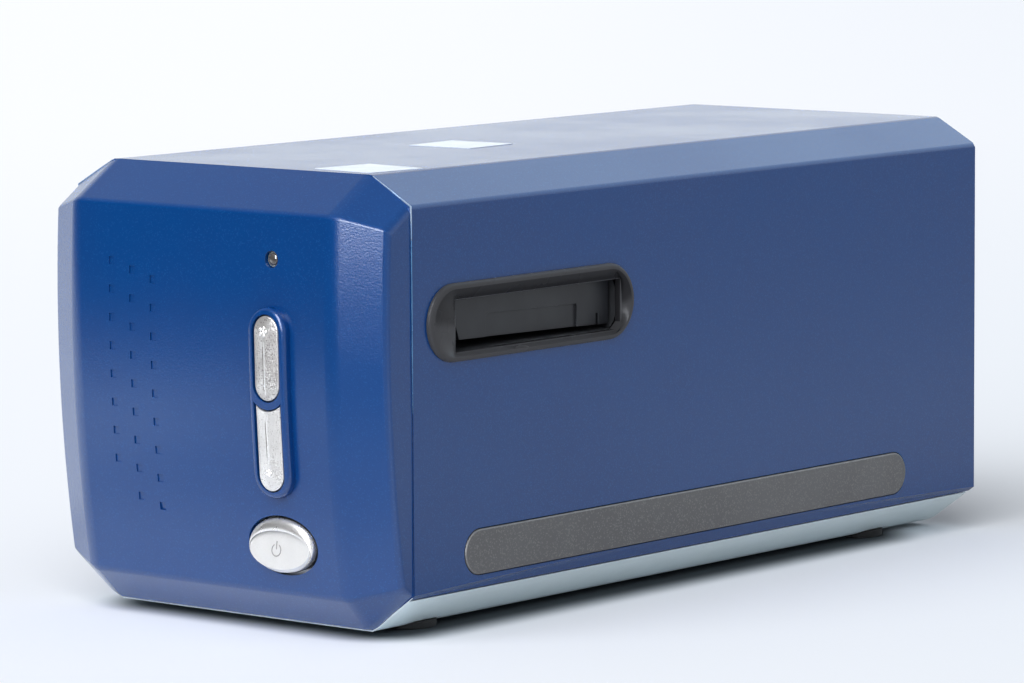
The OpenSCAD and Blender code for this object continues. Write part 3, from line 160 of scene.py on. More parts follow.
def cloud_effect():
    """Slow uneven change over a surface, from 0 to 1."""
    tree, place, given, out = new_effect("uneven tone", "Cloud", Size=30.0)
    noise = noise_value(tree, place, per_mm(tree, given["Size"]), 4.0, 0.55)
    tree.links.new(ramp(tree, noise, 0.3, 0.7), out["Cloud"])
    return tree


def speck_effect():
    """Scattered small round specks: Share of the cells hold one, each of its own size."""
    tree, place, given, out = new_effect(
        "scattered specks", "Mask", Spacing=4.0, Size=0.2, Share=0.3)
    cells = wire(tree, "TexVoronoi", {
        "Vector": place, "Scale": per_mm(tree, given["Spacing"])})
    pick = wire(tree, "SeparateColor", {0: cells.outputs["Color"]}).outputs
    kept = maths(tree, "LESS_THAN", pick[0], given["Share"])
    reach = product(tree, maths(tree, "DIVIDE", given["Size"], given["Spacing"]),
                    ramp(tree, pick[1], 0.0, 1.0, 0.3, 1.0, smooth=False))
    near = maths(tree, "LESS_THAN", cells.outputs["Distance"], reach)
    tree.links.new(product(tree, kept, near), out["Mask"])
    return tree


def wear_and_shade_effect():
    """Mask: 1 along rounded outer edges, broken up, for scuffs that are partly a painted highlight.
    Hollow: 1 in inner corners, for painted shade.
    """
    tree, place, given, out = new_effect("edge wear", "Mask", "Hollow", Grain=2.0, Broken=0.5)
    rounding = wire(tree, "Attribute", attribute_name="rounding",
                    attribute_type="GEOMETRY").outputs["Fac"]
    noise = noise_value(tree, place, per_mm(tree, given["Grain"]), 4.0, 0.7)
    kept = blend_value(tree, given["Broken"], 1.0, ramp(tree, noise, 0.35, 0.65))
    tree.links.new(product(tree, ramp(tree, rounding, 0.35, 0.95), kept), out["Mask"])
    tree.links.new(ramp(tree, rounding, -0.3, -0.9), out["Hollow"])
    return tree


def rub_effect():
    """Fine straight rub marks, few and short, mostly one way."""
    tree, place, given, out = new_effect("rub marks", "Mask", Length=12.0, Share=0.3)
    marks = []
    for turn, shift in ((0.35, 3.0), (-0.5, 17.0), (1.2, 41.0)):
        turned = wire(tree, "Mapping", {
            "Vector": place, "Location": [shift] * 3, "Rotation": [turn] * 3}).outputs[0]
        drawn_out = wire(tree, "VectorMath", {0: turned, 1: (0.06, 2.4, 2.4)},
                         operation="MULTIPLY").outputs[0]
        lines = wire(tree, "TexVoronoi", {
            "Vector": drawn_out, "Scale": maths(tree, "DIVIDE", 12.0, given["Length"])}).outputs
        pick = wire(tree, "SeparateColor", {0: lines["Color"]}).outputs[0]
        marks.append(product(tree, maths(tree, "LESS_THAN", pick, given["Share"]),
                             ramp(tree, lines["Distance"], 0.12, 0.02)))
    most = maths(tree, "MAXIMUM", maths(tree, "MAXIMUM", marks[0], marks[1]), marks[2])
    tree.links.new(most, out["Mask"])
    return tree


GRAIN, CLOUD, SPECKS = grain_effect(), cloud_effect(), speck_effect()
WEAR_AND_SHADE, RUBS = wear_and_shade_effect(), rub_effect()


def effect(tree, group, place, **values):
    """Places an effect in a material, with its own values, and gives its outputs."""
    inputs = {name.title(): value for name, value in values.items()}
    return wire(tree, "Group", {"Place": place, **inputs}, node_tree=group).outputs


# ---- finishes

WHITE_DUST = (0.72, 0.75, 0.8)
HOLLOW_SHADE = (0.01, 0.01, 0.012)
SHADE_SHARE = 0.82  # how much of its base colour a finish's second tone has
FLAKE_SPACING = 1.6  # between flakes, in flake sizes
DUST_DULLING = 0.3  # how much rougher a surface is under dust

FINISHES = {}


def finish(name, colour, rough, shade=None, cloud=30.0, grain=None, flakes=None, wear_and_shading=None,
           rubs=None, dust=None, lint=None, **shader):
    """A finish from its base colour, the second tone it drifts to, and the small marks on it.

    grain: (size, depth) in mm. flakes: (size, share, colour). wear_and_shading: (patch in mm, how
    broken, strength, colour): scuffs along rounded outer edges, partly a painted highlight, and
    painted shade in inner corners. rubs: (length, share, strength, colour). dust and lint:
    (spacing, size, share, strength, colour)."""
    material = FINISHES[name] = bpy.data.materials.new(name.replace("_", " ") + " finish")
    material.use_nodes = True
    tree = material.node_tree
    surface = tree.nodes["Principled BSDF"]
    for key, value in shader.items():
        surface.inputs[key.replace("_", " ").title().replace("Ior", "IOR")].default_value = value
    place = wire(tree, "VectorMath",
                 {0: wire(tree, "TexCoord").outputs["Object"], "Scale": 1 / MM},
                 operation="SCALE").outputs[0]
    drift = effect(tree, CLOUD, place, size=cloud)["Cloud"]
    second = rgba(shade) if shade else rgba(colour, SHADE_SHARE)
    tone = blend_colour(tree, drift, rgba(colour), second)
    roughness = ramp(tree, drift, 0.0, 1.0, *rough, smooth=False)
    if flakes:
        size, share, flake = flakes
        spots = effect(tree, SPECKS, place, spacing=size * FLAKE_SPACING, size=size, share=share)
        tone = paint(tree, tone, (spots["Mask"], flake))
    # Scuffs along rounded outer edges, partly a painted highlight, and painted shade (HOLLOW_SHADE)
    # in inner corners and hollows.
    if wear_and_shading:
        patch, broken, strength, wear_and_light = wear_and_shading
        edges = effect(tree, WEAR_AND_SHADE, place, grain=patch, broken=broken)
        tone = paint(tree, tone, (product(tree, edges["Mask"], strength), wear_and_light),
                     (product(tree, edges["Hollow"], strength), HOLLOW_SHADE))
    if rubs:
        length, share, strength, rubbed = rubs
        marks = effect(tree, RUBS, place, length=length, share=share)
        tone = paint(tree, tone, (product(tree, marks["Mask"], strength), rubbed))
    for spacing, size, share, strength, dusty in filter(None, (dust, lint)):
        spots = effect(tree, SPECKS, place, spacing=spacing, size=size, share=share)
        mask = product(tree, spots["Mask"], strength)
        tone = paint(tree, tone, (mask, dusty))
        roughness = maths(tree, "ADD", roughness, product(tree, mask, DUST_DULLING), clamp=True)
    tree.links.new(tone, surface.inputs["Base Color"])
    tree.links.new(roughness, surface.inputs["Roughness"])
    if grain:
        size, depth = grain
        height = effect(tree, GRAIN, place, size=size)["Height"]
        bump = wire(tree, "Bump", {"Strength": 1.0, "Distance": depth * MM, "Height": height})
        tree.links.new(bump.outputs[0], surface.inputs["Normal"])


# Housing
finish("blue_shell", (0.0009, 0.045, 0.192), (0.19, 0.24), (0.0015, 0.04, 0.176), 45.0,
       grain=(0.42, 0.03), flakes=(0.24, 0.3, (0.004, 0.058, 0.218)),
       wear_and_shading=(2.2, 0.45, 0.5, (0.13, 0.3, 0.56)), dust=(6.0, 0.17, 0.1, 0.75, WHITE_DUST),
       lint=(2.4, 0.075, 0.04, 0.6, (0.4, 0.5, 0.68)))
finish("silver_base", (0.8, 0.91, 0.94), (0.34, 0.42), (0.75, 0.86, 0.9), 25.0, grain=(0.45, 0.008),
       flakes=(0.12, 0.25, (0.74, 0.83, 0.87)), metallic=0.35,
       wear_and_shading=(3.0, 0.6, 0.4, (0.75, 0.8, 0.83)), dust=(4.0, 0.18, 0.1, 0.7, (0.2, 0.22, 0.24)))
finish("dark_panel", (0.045, 0.05, 0.062), (0.5, 0.6), cloud=20.0, grain=(0.6, 0.02),
       dust=(4.0, 0.2, 0.12, 0.5, WHITE_DUST))
finish("black_trim", (0.056, 0.057, 0.062), (0.24, 0.3), (0.064, 0.065, 0.071), 30.0, ior=1.17,
       grain=(0.42, 0.016), wear_and_shading=(2.0, 0.4, 0.8, (0.2, 0.21, 0.23)),
       dust=(3.0, 0.16, 0.15, 0.7, WHITE_DUST))
finish("pad_rubber", (0.105, 0.107, 0.112), (0.4, 0.46), (0.088, 0.088, 0.092), 40.0,
       grain=(0.5, 0.03), flakes=(0.26, 0.3, (0.15, 0.15, 0.152)), wear_and_shading=(2.5, 0.4, 0.5, 0.28),
       dust=(2.2, 0.16, 0.22, 0.55, 0.42), lint=(0.9, 0.1, 0.1, 0.4, 0.3))
finish("foot_rubber", (0.01, 0.01, 0.011), (0.7, 0.85), cloud=6.0, grain=(0.4, 0.03),
       dust=(2.0, 0.12, 0.1, 0.3, 0.2))
finish("label_white", (0.8, 0.86, 0.92), (0.34, 0.44), (0.74, 0.81, 0.88), 14.0, grain=(0.8, 0.004),
       dust=(3.0, 0.15, 0.1, 0.5, (0.45, 0.47, 0.5)))
# Painted highlights for beads along the seams: pale blue along the bezel's rear edge, brighter blue
# at its sloping corners, pale silver along the tray's lip.
finish("lip_blue", (0.1, 0.27, 0.5), (0.22, 0.3), (0.05, 0.17, 0.38), 6.0, grain=(0.4, 0.004),
       metallic=0.3)
finish("bright_blue_highlight", (0.42, 0.52, 0.66), (0.22, 0.3), (0.2, 0.34, 0.55), 5.0, grain=(0.4, 0.004),
       metallic=0.3)
finish("silver_highlight", (0.8, 0.86, 0.88), (0.3, 0.38), (0.66, 0.74, 0.77), 9.0, grain=(0.4, 0.004),
       metallic=0.2)
# Buttons and status light
finish("silver_button", (0.72, 0.71, 0.7), (0.26, 0.34), (0.62, 0.61, 0.6), 6.0,
       grain=(0.42, 0.085), flakes=(0.16, 0.22, (0.42, 0.4, 0.39)), metallic=0.5,
       wear_and_shading=(1.4, 0.5, 0.4, 0.8), dust=(2.0, 0.12, 0.1, 0.6, 0.3))
# A darker copy of the button silver for the upper scan button, as painted shade, with deeper grain
# and more, darker flakes.
finish("shaded_button_silver", (0.62, 0.61, 0.6), (0.26, 0.34), (0.42, 0.4, 0.39), 5.0, grain=(0.42, 0.11),
       flakes=(0.26, 0.42, (0.26, 0.24, 0.24)), metallic=0.5, wear_and_shading=(1.4, 0.5, 0.5, 0.8),
       dust=(2.0, 0.12, 0.1, 0.6, 0.3))
finish("power_silver", 0.8, (0.3, 0.38), 0.74, 6.0, grain=(0.34, 0.02),
       flakes=(0.1, 0.15, (0.72, 0.71, 0.7)), metallic=0.25)
finish("polished_bevel", (0.8, 0.78, 0.76), (0.26, 0.34), (0.7, 0.68, 0.66), 3.0,
       grain=(0.5, 0.004), metallic=0.8)
finish("polished_silver", 0.86, (0.24, 0.3), 0.8, 4.0, grain=(0.4, 0.006), metallic=0.5)
finish("engraved_grey", (0.26, 0.25, 0.25), (0.4, 0.5), (0.34, 0.33, 0.33), 2.0, grain=(0.3, 0.01))
finish("groove_shade", (0.05, 0.045, 0.042), (0.5, 0.6), (0.12, 0.11, 0.1), 3.0, grain=(0.3, 0.02))
finish("clear_plastic", (0.62, 0.68, 0.68), (0.08, 0.14), cloud=4.0, grain=(0.6, 0.002),
       transmission_weight=0.7)
finish("smoky_lens", (0.05, 0.045, 0.042), (0.05, 0.09), (0.11, 0.1, 0.095), 1.2,
       grain=(0.8, 0.004), coat_weight=1.0, coat_roughness=0.03)
# Film passage and optics
finish("black_frame", (0.028, 0.03, 0.034), (0.5, 0.62), cloud=10.0, grain=(0.5, 0.02),
       dust=(3.0, 0.16, 0.1, 0.6, WHITE_DUST))
finish("door_grey", (0.022, 0.024, 0.029), (0.36, 0.44), (0.016, 0.017, 0.021), 12.0,
       specular_ior_level=0.35, grain=(0.35, 0.012), wear_and_shading=(1.6, 0.5, 0.4, (0.2, 0.21, 0.23)),
       dust=(2.6, 0.18, 0.2, 0.7, WHITE_DUST))
finish("mirror_glass", (0.85, 0.88, 0.9), (0.02, 0.05), cloud=10.0, metallic=1.0,
       dust=(2.0, 0.08, 0.1, 0.4, 0.5))
finish("lens_glass", (0.75, 0.85, 0.88), (0.02, 0.04), (0.6, 0.62, 0.85), 5.0,
       transmission_weight=1.0, coat_weight=0.6)
finish("milky_plastic", (0.85, 0.85, 0.82), (0.3, 0.4), cloud=8.0, grain=(0.5, 0.003))
finish("white_part", (0.72, 0.72, 0.7), (0.4, 0.5), cloud=8.0, grain=(0.4, 0.006),
       dust=(2.5, 0.12, 0.1, 0.4, 0.3))
finish("cream_plastic", (0.62, 0.56, 0.42), (0.35, 0.45), cloud=5.0, grain=(0.3, 0.005))
# Frames, drive and boards
finish("zinc_sheet", (0.5, 0.52, 0.54), (0.3, 0.5), (0.42, 0.45, 0.48), 4.0, metallic=1.0,
       rubs=(20.0, 0.2, 0.3, (0.7, 0.72, 0.74)), grain=(0.9, 0.003))
finish("bright_steel", (0.62, 0.63, 0.65), (0.14, 0.24), cloud=8.0, metallic=1.0,
       rubs=(6.0, 0.2, 0.25, 0.8), grain=(0.3, 0.001))
finish("motor_case", (0.45, 0.46, 0.47), (0.28, 0.4), cloud=6.0, metallic=1.0,
       rubs=(10.0, 0.15, 0.3, (0.65, 0.65, 0.66)), grain=(0.4, 0.002))
finish("bronze", (0.55, 0.38, 0.17), (0.25, 0.38), (0.45, 0.3, 0.14), 5.0, metallic=1.0,
       rubs=(5.0, 0.2, 0.3, (0.75, 0.55, 0.3)), grain=(0.3, 0.002))
finish("screw_steel", (0.35, 0.36, 0.37), (0.2, 0.34), cloud=3.0, metallic=1.0,
       wear_and_shading=(0.6, 0.5, 0.5, 0.6), grain=(0.2, 0.003))
finish("circuit_green", (0.012, 0.12, 0.055), (0.28, 0.38), (0.01, 0.085, 0.045), 3.0,
       rubs=(18.0, 0.28, 0.6, (0.03, 0.21, 0.1)), grain=(0.5, 0.004))
finish("black_component", (0.022, 0.022, 0.025), (0.42, 0.55), cloud=4.0, grain=(0.25, 0.008),
       dust=(2.0, 0.12, 0.12, 0.5, 0.3))


# ---- solids with rounded edges

pieces = {}  # what stands in for a solid, by its node
FLAT_WITHIN = 0.35  # faces that bend less, in degrees, are joined
RIDGE_BEND, EDGE_BEND = 10.0, 24.0  # least bend of a main ridge and of a small edge

BOW_RADIUS, BOW_MIDDLE, BOW_FRONT = 431.0, 80.7, -131.65  # the front face's bow, in mm
DIMPLE_SIDES, DIMPLE_HEIGHTS = (-40.0, -10.0), (30.0, 106.0)
BUTTONS_X, ISLAND_LOW, ISLAND_HIGH = 25.0, 43.15, 80.15  # middle line of the island
ISLAND_PROUD, ISLAND_STEP, ISLAND_HALF = 2.4, 1.1, 6.43  # its height, foot, half width
POWER_HEIGHT = 24.2


def place_object(name, data):
    made = bpy.data.objects.new(name, data)
    bpy.context.scene.collection.objects.link(made)
    return made


def baked(piece):
    """A plain mesh of an object with its modifiers applied."""
    evaluated = piece.evaluated_get(bpy.context.evaluated_depsgraph_get())
    return bpy.data.meshes.new_from_object(evaluated)


def add_piece(name, mesh, body, material, slot):
    piece = place_object(name, mesh)
    mesh.materials.clear()
    mesh.materials.append(FINISHES[material])
    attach(piece, body)
    return piece


def opened(mesh):
    form = bmesh.new()
    form.from_mesh(mesh)
    form.normal_update()
    return form


def joined_mesh(node, trim):
    """A copy of a solid's mesh with its flat faces made whole, then trimmed."""
    mesh = cad[node].data.copy()
    mesh.name = node + "_mesh"
    form = opened(mesh)
    bmesh.ops.remove_doubles(form, verts=form.verts, dist=2e-6)
    bmesh.ops.dissolve_limit(
        form, angle_limit=radians(FLAT_WITHIN), verts=form.verts, edges=form.edges)
    if trim:
        trim(form)
    form.to_mesh(mesh)
    form.free()
    for layer in ("custom_normal", "sharp_face"):
        if layer in mesh.attributes:
            mesh.attributes.remove(mesh.attributes[layer])
    mesh.shade_smooth()
    return mesh


def weigh_ridges(mesh, widest, rule, width):
    """Gives each edge that bends its share of the widest rounding and of the small one."""
    form = opened(mesh)
    wide = form.edges.layers.float.new("ridge")
    fine = form.edges.layers.float.new("small_edge")
    for edge in form.edges:
        bend = degrees(edge.calc_face_angle()) if len(edge.link_faces) == 2 else 0.0
        if bend > RIDGE_BEND:
            ridge, small = rule(*(corner.co / MM for corner in edge.verts))
            edge[wide], edge[fine] = ridge / widest, small / width * (bend > EDGE_BEND)
    form.to_mesh(mesh)
    form.free()


def round_edges(piece, label, width, segments, weight=None):
    bevel = piece.modifiers.new(label, "BEVEL")
    bevel.width = width * MM
    bevel.segments = segments
    bevel.limit_method = "WEIGHT" if weight else "ANGLE"
    bevel.angle_limit = radians(EDGE_BEND)
    if weight:
        bevel.edge_weight = weight
    bevel.use_clamp_overlap = weight != "ridge"
    bevel.miter_outer = "MITER_ARC"
    bevel.material = 0 if weight == "ridge" else 1


def front_at(height):
    """The front face's y in mm at a height in mm."""
    return BOW_FRONT + BOW_RADIUS - sqrt(BOW_RADIUS ** 2 - (height - BOW_MIDDLE) ** 2)


def bowed(normal, height):
    """A flat strip's normal, turned to what the bowed front has at a height in mm."""
    rise = height - BOW_MIDDLE
    slope = rise / sqrt(BOW_RADIUS ** 2 - rise ** 2)
    if normal.y > -0.5 or abs(normal.z / -normal.y - slope) > 0.02:
        return normal
    return Vector((normal.x, normal.y, -normal.y * slope)).normalized()


def shading_groups(corner, hard):
    """The faces round a corner, parted where a hard crease runs between them."""
    left = set(corner.link_faces)
    while left:
        group = [left.pop()]
        for face in group:
            for edge in corner.link_edges:
                if face in edge.link_faces and not hard[edge.index]:
                    found = [other for other in edge.link_faces if other in left]
                    left.difference_update(found)
                    group.extend(found)
        yield group


def settle(piece):
    """Applies a piece's rounding for good. Large faces keep their normal, and "rounding" is 1
    along rounded outer edges, -1 along inner ones and 0 on the flats."""
    finish_kept = piece.data.materials[0]
    piece.data.materials.append(None)
    mesh = baked(piece)
    piece.modifiers.clear()
    form = opened(mesh)
    bends = [degrees(edge.calc_face_angle_signed(0.0)) if len(edge.link_faces) == 2 else 90.0
             for edge in form.edges]
    hard = [abs(bend) > (50.0 if any(face.material_index for face in edge.link_faces) else 20.0)
            for edge, bend in zip(form.edges, bends)]
    area = [face.calc_area() for face in form.faces]
    normals, rounding = {}, []
    for corner in form.verts:
        for group in shading_groups(corner, hard):
            total = sum((face.normal * area[face.index] ** 2 for face in group), Vector())
            total.normalize()
            if piece.name.startswith("front_bezel"):
                total = bowed(total, corner.co.z / MM)
            for face in group:
                normals[face.index, corner.index] = total
        rounded_here = all(face.material_index == 1 for face in corner.link_faces)
        rounding.append(copysign(rounded_here, sum(bends[e.index] for e in corner.link_edges)))
    form.free()
    mesh.shade_smooth()
    mesh.normals_split_custom_set([normals[face.index, mesh.loops[k].vertex_index]
                                   for face in mesh.polygons for k in face.loop_indices])
    # The finishes read "rounding": scuffs and a painted highlight along outer edges, painted shade
    # along inner ones.
    mesh.attributes.new("rounding", "FLOAT", "POINT").data.foreach_set("value", rounding)
    mesh.polygons.foreach_set("material_index", [0] * len(mesh.polygons))
    mesh.materials.clear()
    mesh.materials.append(finish_kept)
    piece.data = mesh


def round_solid(node, width, ridges=None, trim=None):
    """Replaces a solid by its shape with edges rounded to width in mm. ridges: (widest, rule),
    where rule gives an edge its rounding as (main ridge, small edge)."""
    mesh = joined_mesh(node, trim)
    if ridges:
        weigh_ridges(mesh, *ridges, width)
    piece = add_piece(node + "_rounded", mesh, body_of[node], slot_of[node], slot_of[node])
    round_edges(piece, "small edges", width, 3, "small_edge" if ridges else None)
    if ridges:
        round_edges(piece, "main ridges", ridges[0], 5, "ridge")
    settle(piece)
    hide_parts(node)
    pieces[node] = piece


def island_reach(place):
    """Distance in mm from the middle line of the island round the scan buttons."""
    height = min(max(place.z, ISLAND_LOW), ISLAND_HIGH)
    return hypot(place.x - BUTTONS_X, place.z - height)


def among_dimples(place):
    return (DIMPLE_SIDES[0] < place.x < DIMPLE_SIDES[1]
            and DIMPLE_HEIGHTS[0] < place.z < DIMPLE_HEIGHTS[1])


def bezel_ridge(first, second):
    """The bezel's rounding: soft where the face turns into its facets, tight elsewhere."""
    middle = (first + second) / 2
    side, height = abs(middle.x), middle.z
    upright = abs(first.x - second.x) < 0.2
    if island_reach(middle) < 6.8 and middle.y < front_at(height) + 0.3:
        return 0.0, 0.0
    if among_dimples(middle) and middle.y < -124:
        return 0.0, 0.1
    if middle.y > -116.2:
        return 0.0, 0.4
    if upright and side > 58.6:
        return (1.5 if height < 107 else 1.9), 0.0
    if upright and abs(side - 45.4) < 0.2:
        return (2.6 if 11.5 < height < 110.7 else 1.8), 0.0
    if height > 107.1:
        return 1.0, 0.0
    if height < 15.0 and side > 45.3 or abs(height - 11.4) < 0.1:
        return 1.2, 0.0
    return (0.6, 0.0) if height < 2.5 else (0.0, 0.4)


def cover_ridge(first, second):
    """The cover's rounding: soft along the sloping top corners, small at the pads."""
    middle = (first + second) / 2
    side, height = abs(middle.x), middle.z
    lengthways = abs(first.y - second.y) > 5
    if lengthways and side > 45 and min(abs(height - 113.0), abs(height - 120.5)) < 0.2:
        return 0.9, 0.0
    recess = abs(side - 58.8) < 0.05 and 15.2 < height < 28 and -113 < middle.y < 120
    return 0.0, (0.25 if recess else 0.0)


def trim_tray(form):
    """The tray's front wall leans back under its lip."""
    for corner in form.verts:
        if corner.co.y < -115.0 * MM:
            corner.co.y += 3.0 * min(max((2.9 - corner.co.z / MM) / 1.4, 0.0), 1.0) * MM


def trim_door(form):
    """The recess in a dust door's outer face, a little taller and deeper."""
    for corner in form.verts:
        place = corner.co / MM
        if -85.0 < place.y < -35.0:
            if 79.0 < place.z < 80.3:
                corner.co.z += 2.2 * MM
            for floor, inward in ((53.6, -0.25), (-40.8, 0.25)):
                if abs(place.x - floor) < 0.05:
                    corner.co.x += inward * MM


def trim_bezel(form):
    """Shallower dimples, and the island cut down to its foot for the rim piece."""
    for corner in form.verts:
        place = corner.co / MM
        front = front_at(place.z)
        if among_dimples(place) and 0.5 < place.y - front < 1.0:
            corner.co.y = (front + 0.34) * MM
        if island_reach(place) < 6.6 and place.y < front - ISLAND_STEP:
            corner.co.y = (front - ISLAND_STEP) * MM


ROUNDING = {
    "base_tray": 0.4, "rear_panel": 0.3, "side_pad_right": 0.5, "side_pad_left": 0.5,
    "rubber_feet": 0.4, "film_deck": 0.2, "channel_rail_front": 0.2, "channel_rail_rear": 0.2,
    "film_hood": 0.2, "scan_button_upper": 0.3, "scan_button_lower": 0.3, "power_button": 0.3,
    "dust_door_right": 0.15, "dust_door_left": 0.15, "optics_carriage": 0.3, "lamp_housing": 0.3,
    "stepper_motor": 0.4, "front_frame": 0.15, "rear_frame": 0.15, "usb_socket": 0.15,
    "power_jack": 0.25,
}
TRIMS = {"base_tray": trim_tray, "dust_door_right": trim_door, "dust_door_left": trim_door}


def shape_buttons():
    """Room for the bevel round the power button, and flatter, narrower scan buttons."""
    for corner in pieces["power_button"].data.vertices:
        if corner.co.y < -124.0 * MM:
            middle = Vector((BUTTONS_X * MM, corner.co.y, POWER_HEIGHT * MM))
            out = corner.co - middle
            corner.co = middle + Vector((out.x * 0.955, 0.0, out.z * 0.93))
    for node in ("scan_button_upper", "scan_button_lower"):
        for corner in pieces[node].data.vertices:
            crown = front_at(corner.co.z / MM) - corner.co.y / MM - 2.5
            corner.co.y += 0.5 * max(crown, 0.0) * MM
            corner.co.x = (BUTTONS_X + (corner.co.x / MM - BUTTONS_X) * 0.965) * MM


def round_housing():
    for node, width in ROUNDING.items():
        round_solid(node, width, trim=TRIMS.get(node))
    round_solid("top_cover", 0.25, (0.9, cover_ridge))
    shape_buttons()
    round_solid("front_bezel", 0.4, (2.6, bezel_ridge), trim_bezel)
    for corner in pieces["front_bezel"].data.vertices:
        corner.co.z = max(corner.co.z, 2.35 * MM)


# ---- pieces made from rows of points

def circle(count):
    """(cosine, sine) of evenly spaced angles all round."""
    return [(cos(t), sin(t)) for t in (2 * pi * k / count for k in range(count))]


def quarter(steps):
    """(cosine, sine) from 0 to 90 degrees."""
    return [(cos(t), sin(t)) for t in (pi / 2 * k / steps for k in range(steps + 1))]


def stitch(form, rows, ring=True, loop=False):
    """Joins each row of corners to the next. ring: closed rows. loop: the last meets the first."""
    for first, second in zip(rows, rows[1:] + rows[:loop]):
        for k in range(0 if ring else 1, max(len(first), len(second))):
            corners = [first[(k - 1) % len(first)], first[k % len(first)],
                       second[k % len(second)], second[(k - 1) % len(second)]]
            form.faces.new(list(dict.fromkeys(corners)))


def smooth_mesh(form, name, to_front=False, sharp=None):
    """A form's mesh, its faces outwards or to the front. sharp: the least sharp bend in degrees."""
    bmesh.ops.recalc_face_normals(form, faces=form.faces)
    mesh = bpy.data.meshes.new(name + "_mesh")
    form.to_mesh(mesh)
    form.free()
    if to_front and sum(face.normal.y * face.area for face in mesh.polygons) > 0:
        mesh.flip_normals()
    mesh.shade_smooth()
    if sharp:
        mesh.set_sharp_from_angle(angle=radians(sharp))
    return mesh


def skin(name, rows, ring=True, loop=False, ends=False, **way):
    """A mesh over rows of points in mm. ends: the first and last rows are filled."""
    form = bmesh.new()
    rows = [[form.verts.new(Vector(point) * MM) for point in row] for row in rows]
    stitch(form, rows, ring, loop)
    if ends:
        form.faces.new(rows[0])
        form.faces.new(rows[-1][::-1])
    return smooth_mesh(form, name, **way)


def turned(name, profile, x, z, steps=40, sharp=None):
    """A piece turned about a line along Y. profile: (radius, y) in mm."""
    rows = [[(x + radius * c, along, z + radius * s) for c, s in circle(steps if radius else 1)]
            for radius, along in profile]
    return skin(name, rows, sharp=sharp)


def tube(name, line, body, material, slot, sides=8):
    """A bead along (x, y, z, radius) in mm, its ends closed."""
    points = [Vector(point[:3]) for point in line]
    befores, beyonds = points[:1] + points, points[1:] + points[-1:]
    rows = []
    for before, here, beyond, (*_, size) in zip(befores, points, beyonds, line):
        along = (beyond - before).normalized()
        side = along.cross(Vector((0, 1, 0))).normalized()
        up = side.cross(along)
        rows.append([here + size * (side * c + up * s) for c, s in circle(sides)])
    add_piece(name, skin(name, rows, ends=True, sharp=60), body, material, slot)


def arc(height, reach, start, stop, steps=20):
    """Points (x, z) in mm on a curve round the island's middle line."""
    return [(BUTTONS_X + reach * cos(t), height + reach * sin(t))
            for t in (start + (stop - start) * k / steps for k in range(steps + 1))]


def upright(side, start, stop, steps=12):
    """Points along one side of the island, close enough for the bow."""
    return [(BUTTONS_X + side, start + (stop - start) * k / steps) for k in range(1, steps)]


def long_outline(low, high, reach):
    return (arc(high, reach, 0.0, pi) + upright(-reach, high, low)
            + arc(low, reach, pi, 2 * pi) + upright(reach, low, high))


def island_holes(half=4.7, upper_low=66.65, hollow=6.6):
    """Outlines of the two button holes: a long one, and one whose top runs hollow round it."""
    turn = asin(half / hollow)
    shoulder = upper_low - hollow * cos(turn)
    lower = (arc(upper_low, hollow, 1.5 * pi + turn, 1.5 * pi - turn)
             + upright(-half, shoulder, ISLAND_LOW) + arc(ISLAND_LOW, half, pi, 2 * pi)
             + upright(half, ISLAND_LOW, shoulder))
    return [long_outline(upper_low, ISLAND_HIGH, half), lower]


def island_rim():
    """A rolled outer edge, and a flat land with the two button holes."""
    form = bmesh.new()

    def ring(points, proud):
        return [form.verts.new(Vector((x, front_at(z) - proud, z)) * MM) for x, z in points]

    roll = ISLAND_PROUD - ISLAND_STEP
    rows = [ring(long_outline(ISLAND_LOW, ISLAND_HIGH, ISLAND_HALF), -0.2)]
    rows += [ring(long_outline(ISLAND_LOW, ISLAND_HIGH, ISLAND_HALF - roll * (1 - c)),
                  ISLAND_STEP + roll * s) for c, s in quarter(8)]
    stitch(form, rows)
    holes = island_holes()
    land = [rows[-1]] + [ring(hole, ISLAND_PROUD) for hole in holes]
    corners = [corner for loop in land for corner in loop]
    for trio in tessellate_polygon([[corner.co.xzy for corner in loop] for loop in land]):
        form.faces.new([corners[k] for k in trio])
    for loop, hole in zip(land[1:], holes):
        stitch(form, [loop, ring(hole, ISLAND_STEP - 0.3)])
    mesh = smooth_mesh(form, "island_rim", to_front=True, sharp=40)
    add_piece("scan_button_island", mesh, "root", "blue_shell", "blue_shell")


TRIM_MIDDLE, TRIM_HALF, TRIM_END = (-67.55, 81.85), 42.3, 10.25  # the slot trims' outline
TRIM_RIM, TRIM_LIP, TRIM_SEAT = 60.0, 1.0, 58.8  # x of its rim and seat, lip
DISH_DEEP, DISH_SHARES = 2.35, (0.0, 0.1, 0.2, 0.3, 0.4, 0.5, 0.6, 0.7, 0.8, 0.88, 0.95, 1.0)
PASSAGE = ((-96.75, 73.8), (-28.75, 87.3))  # the opening in them
END_STEPS, RUN_STEPS = 20, 16


def whole_outline(half, middle_y, middle_z):
    """An outline from its first half, which the second half repeats half a turn on."""
    return half + [(2 * middle_y - a, 2 * middle_z - b) for a, b in half]


def pill_points(inset):
    """Outline of a slot trim, set in by inset, as (y, z) in mm from the top of its left end."""
    y, z = TRIM_MIDDLE
    reach, run = TRIM_END - inset, TRIM_HALF - TRIM_END
    left = [(y - run - reach * sin(t), z + reach * cos(t))
            for t in (pi * k / END_STEPS for k in range(END_STEPS))]
    under = [(y - run + 2 * run * k / RUN_STEPS, z - reach) for k in range(RUN_STEPS)]
    return whole_outline(left + under, y, z)


def opening_points(grow):
    """The opening's outline, its points in step with the trim's."""
    (y0, z0), (y1, z1) = PASSAGE
    y0, z0, y1, z1 = y0 - grow, z0 - grow, y1 + grow, z1 + grow
    left = [(y0, z1 + (z0 - z1) * k / END_STEPS) for k in range(END_STEPS)]
    under = [(y0 + (y1 - y0) * k / RUN_STEPS, z0) for k in range(RUN_STEPS)]
    return whole_outline(left + under, (y0 + y1) / 2, (z0 + z1) / 2)


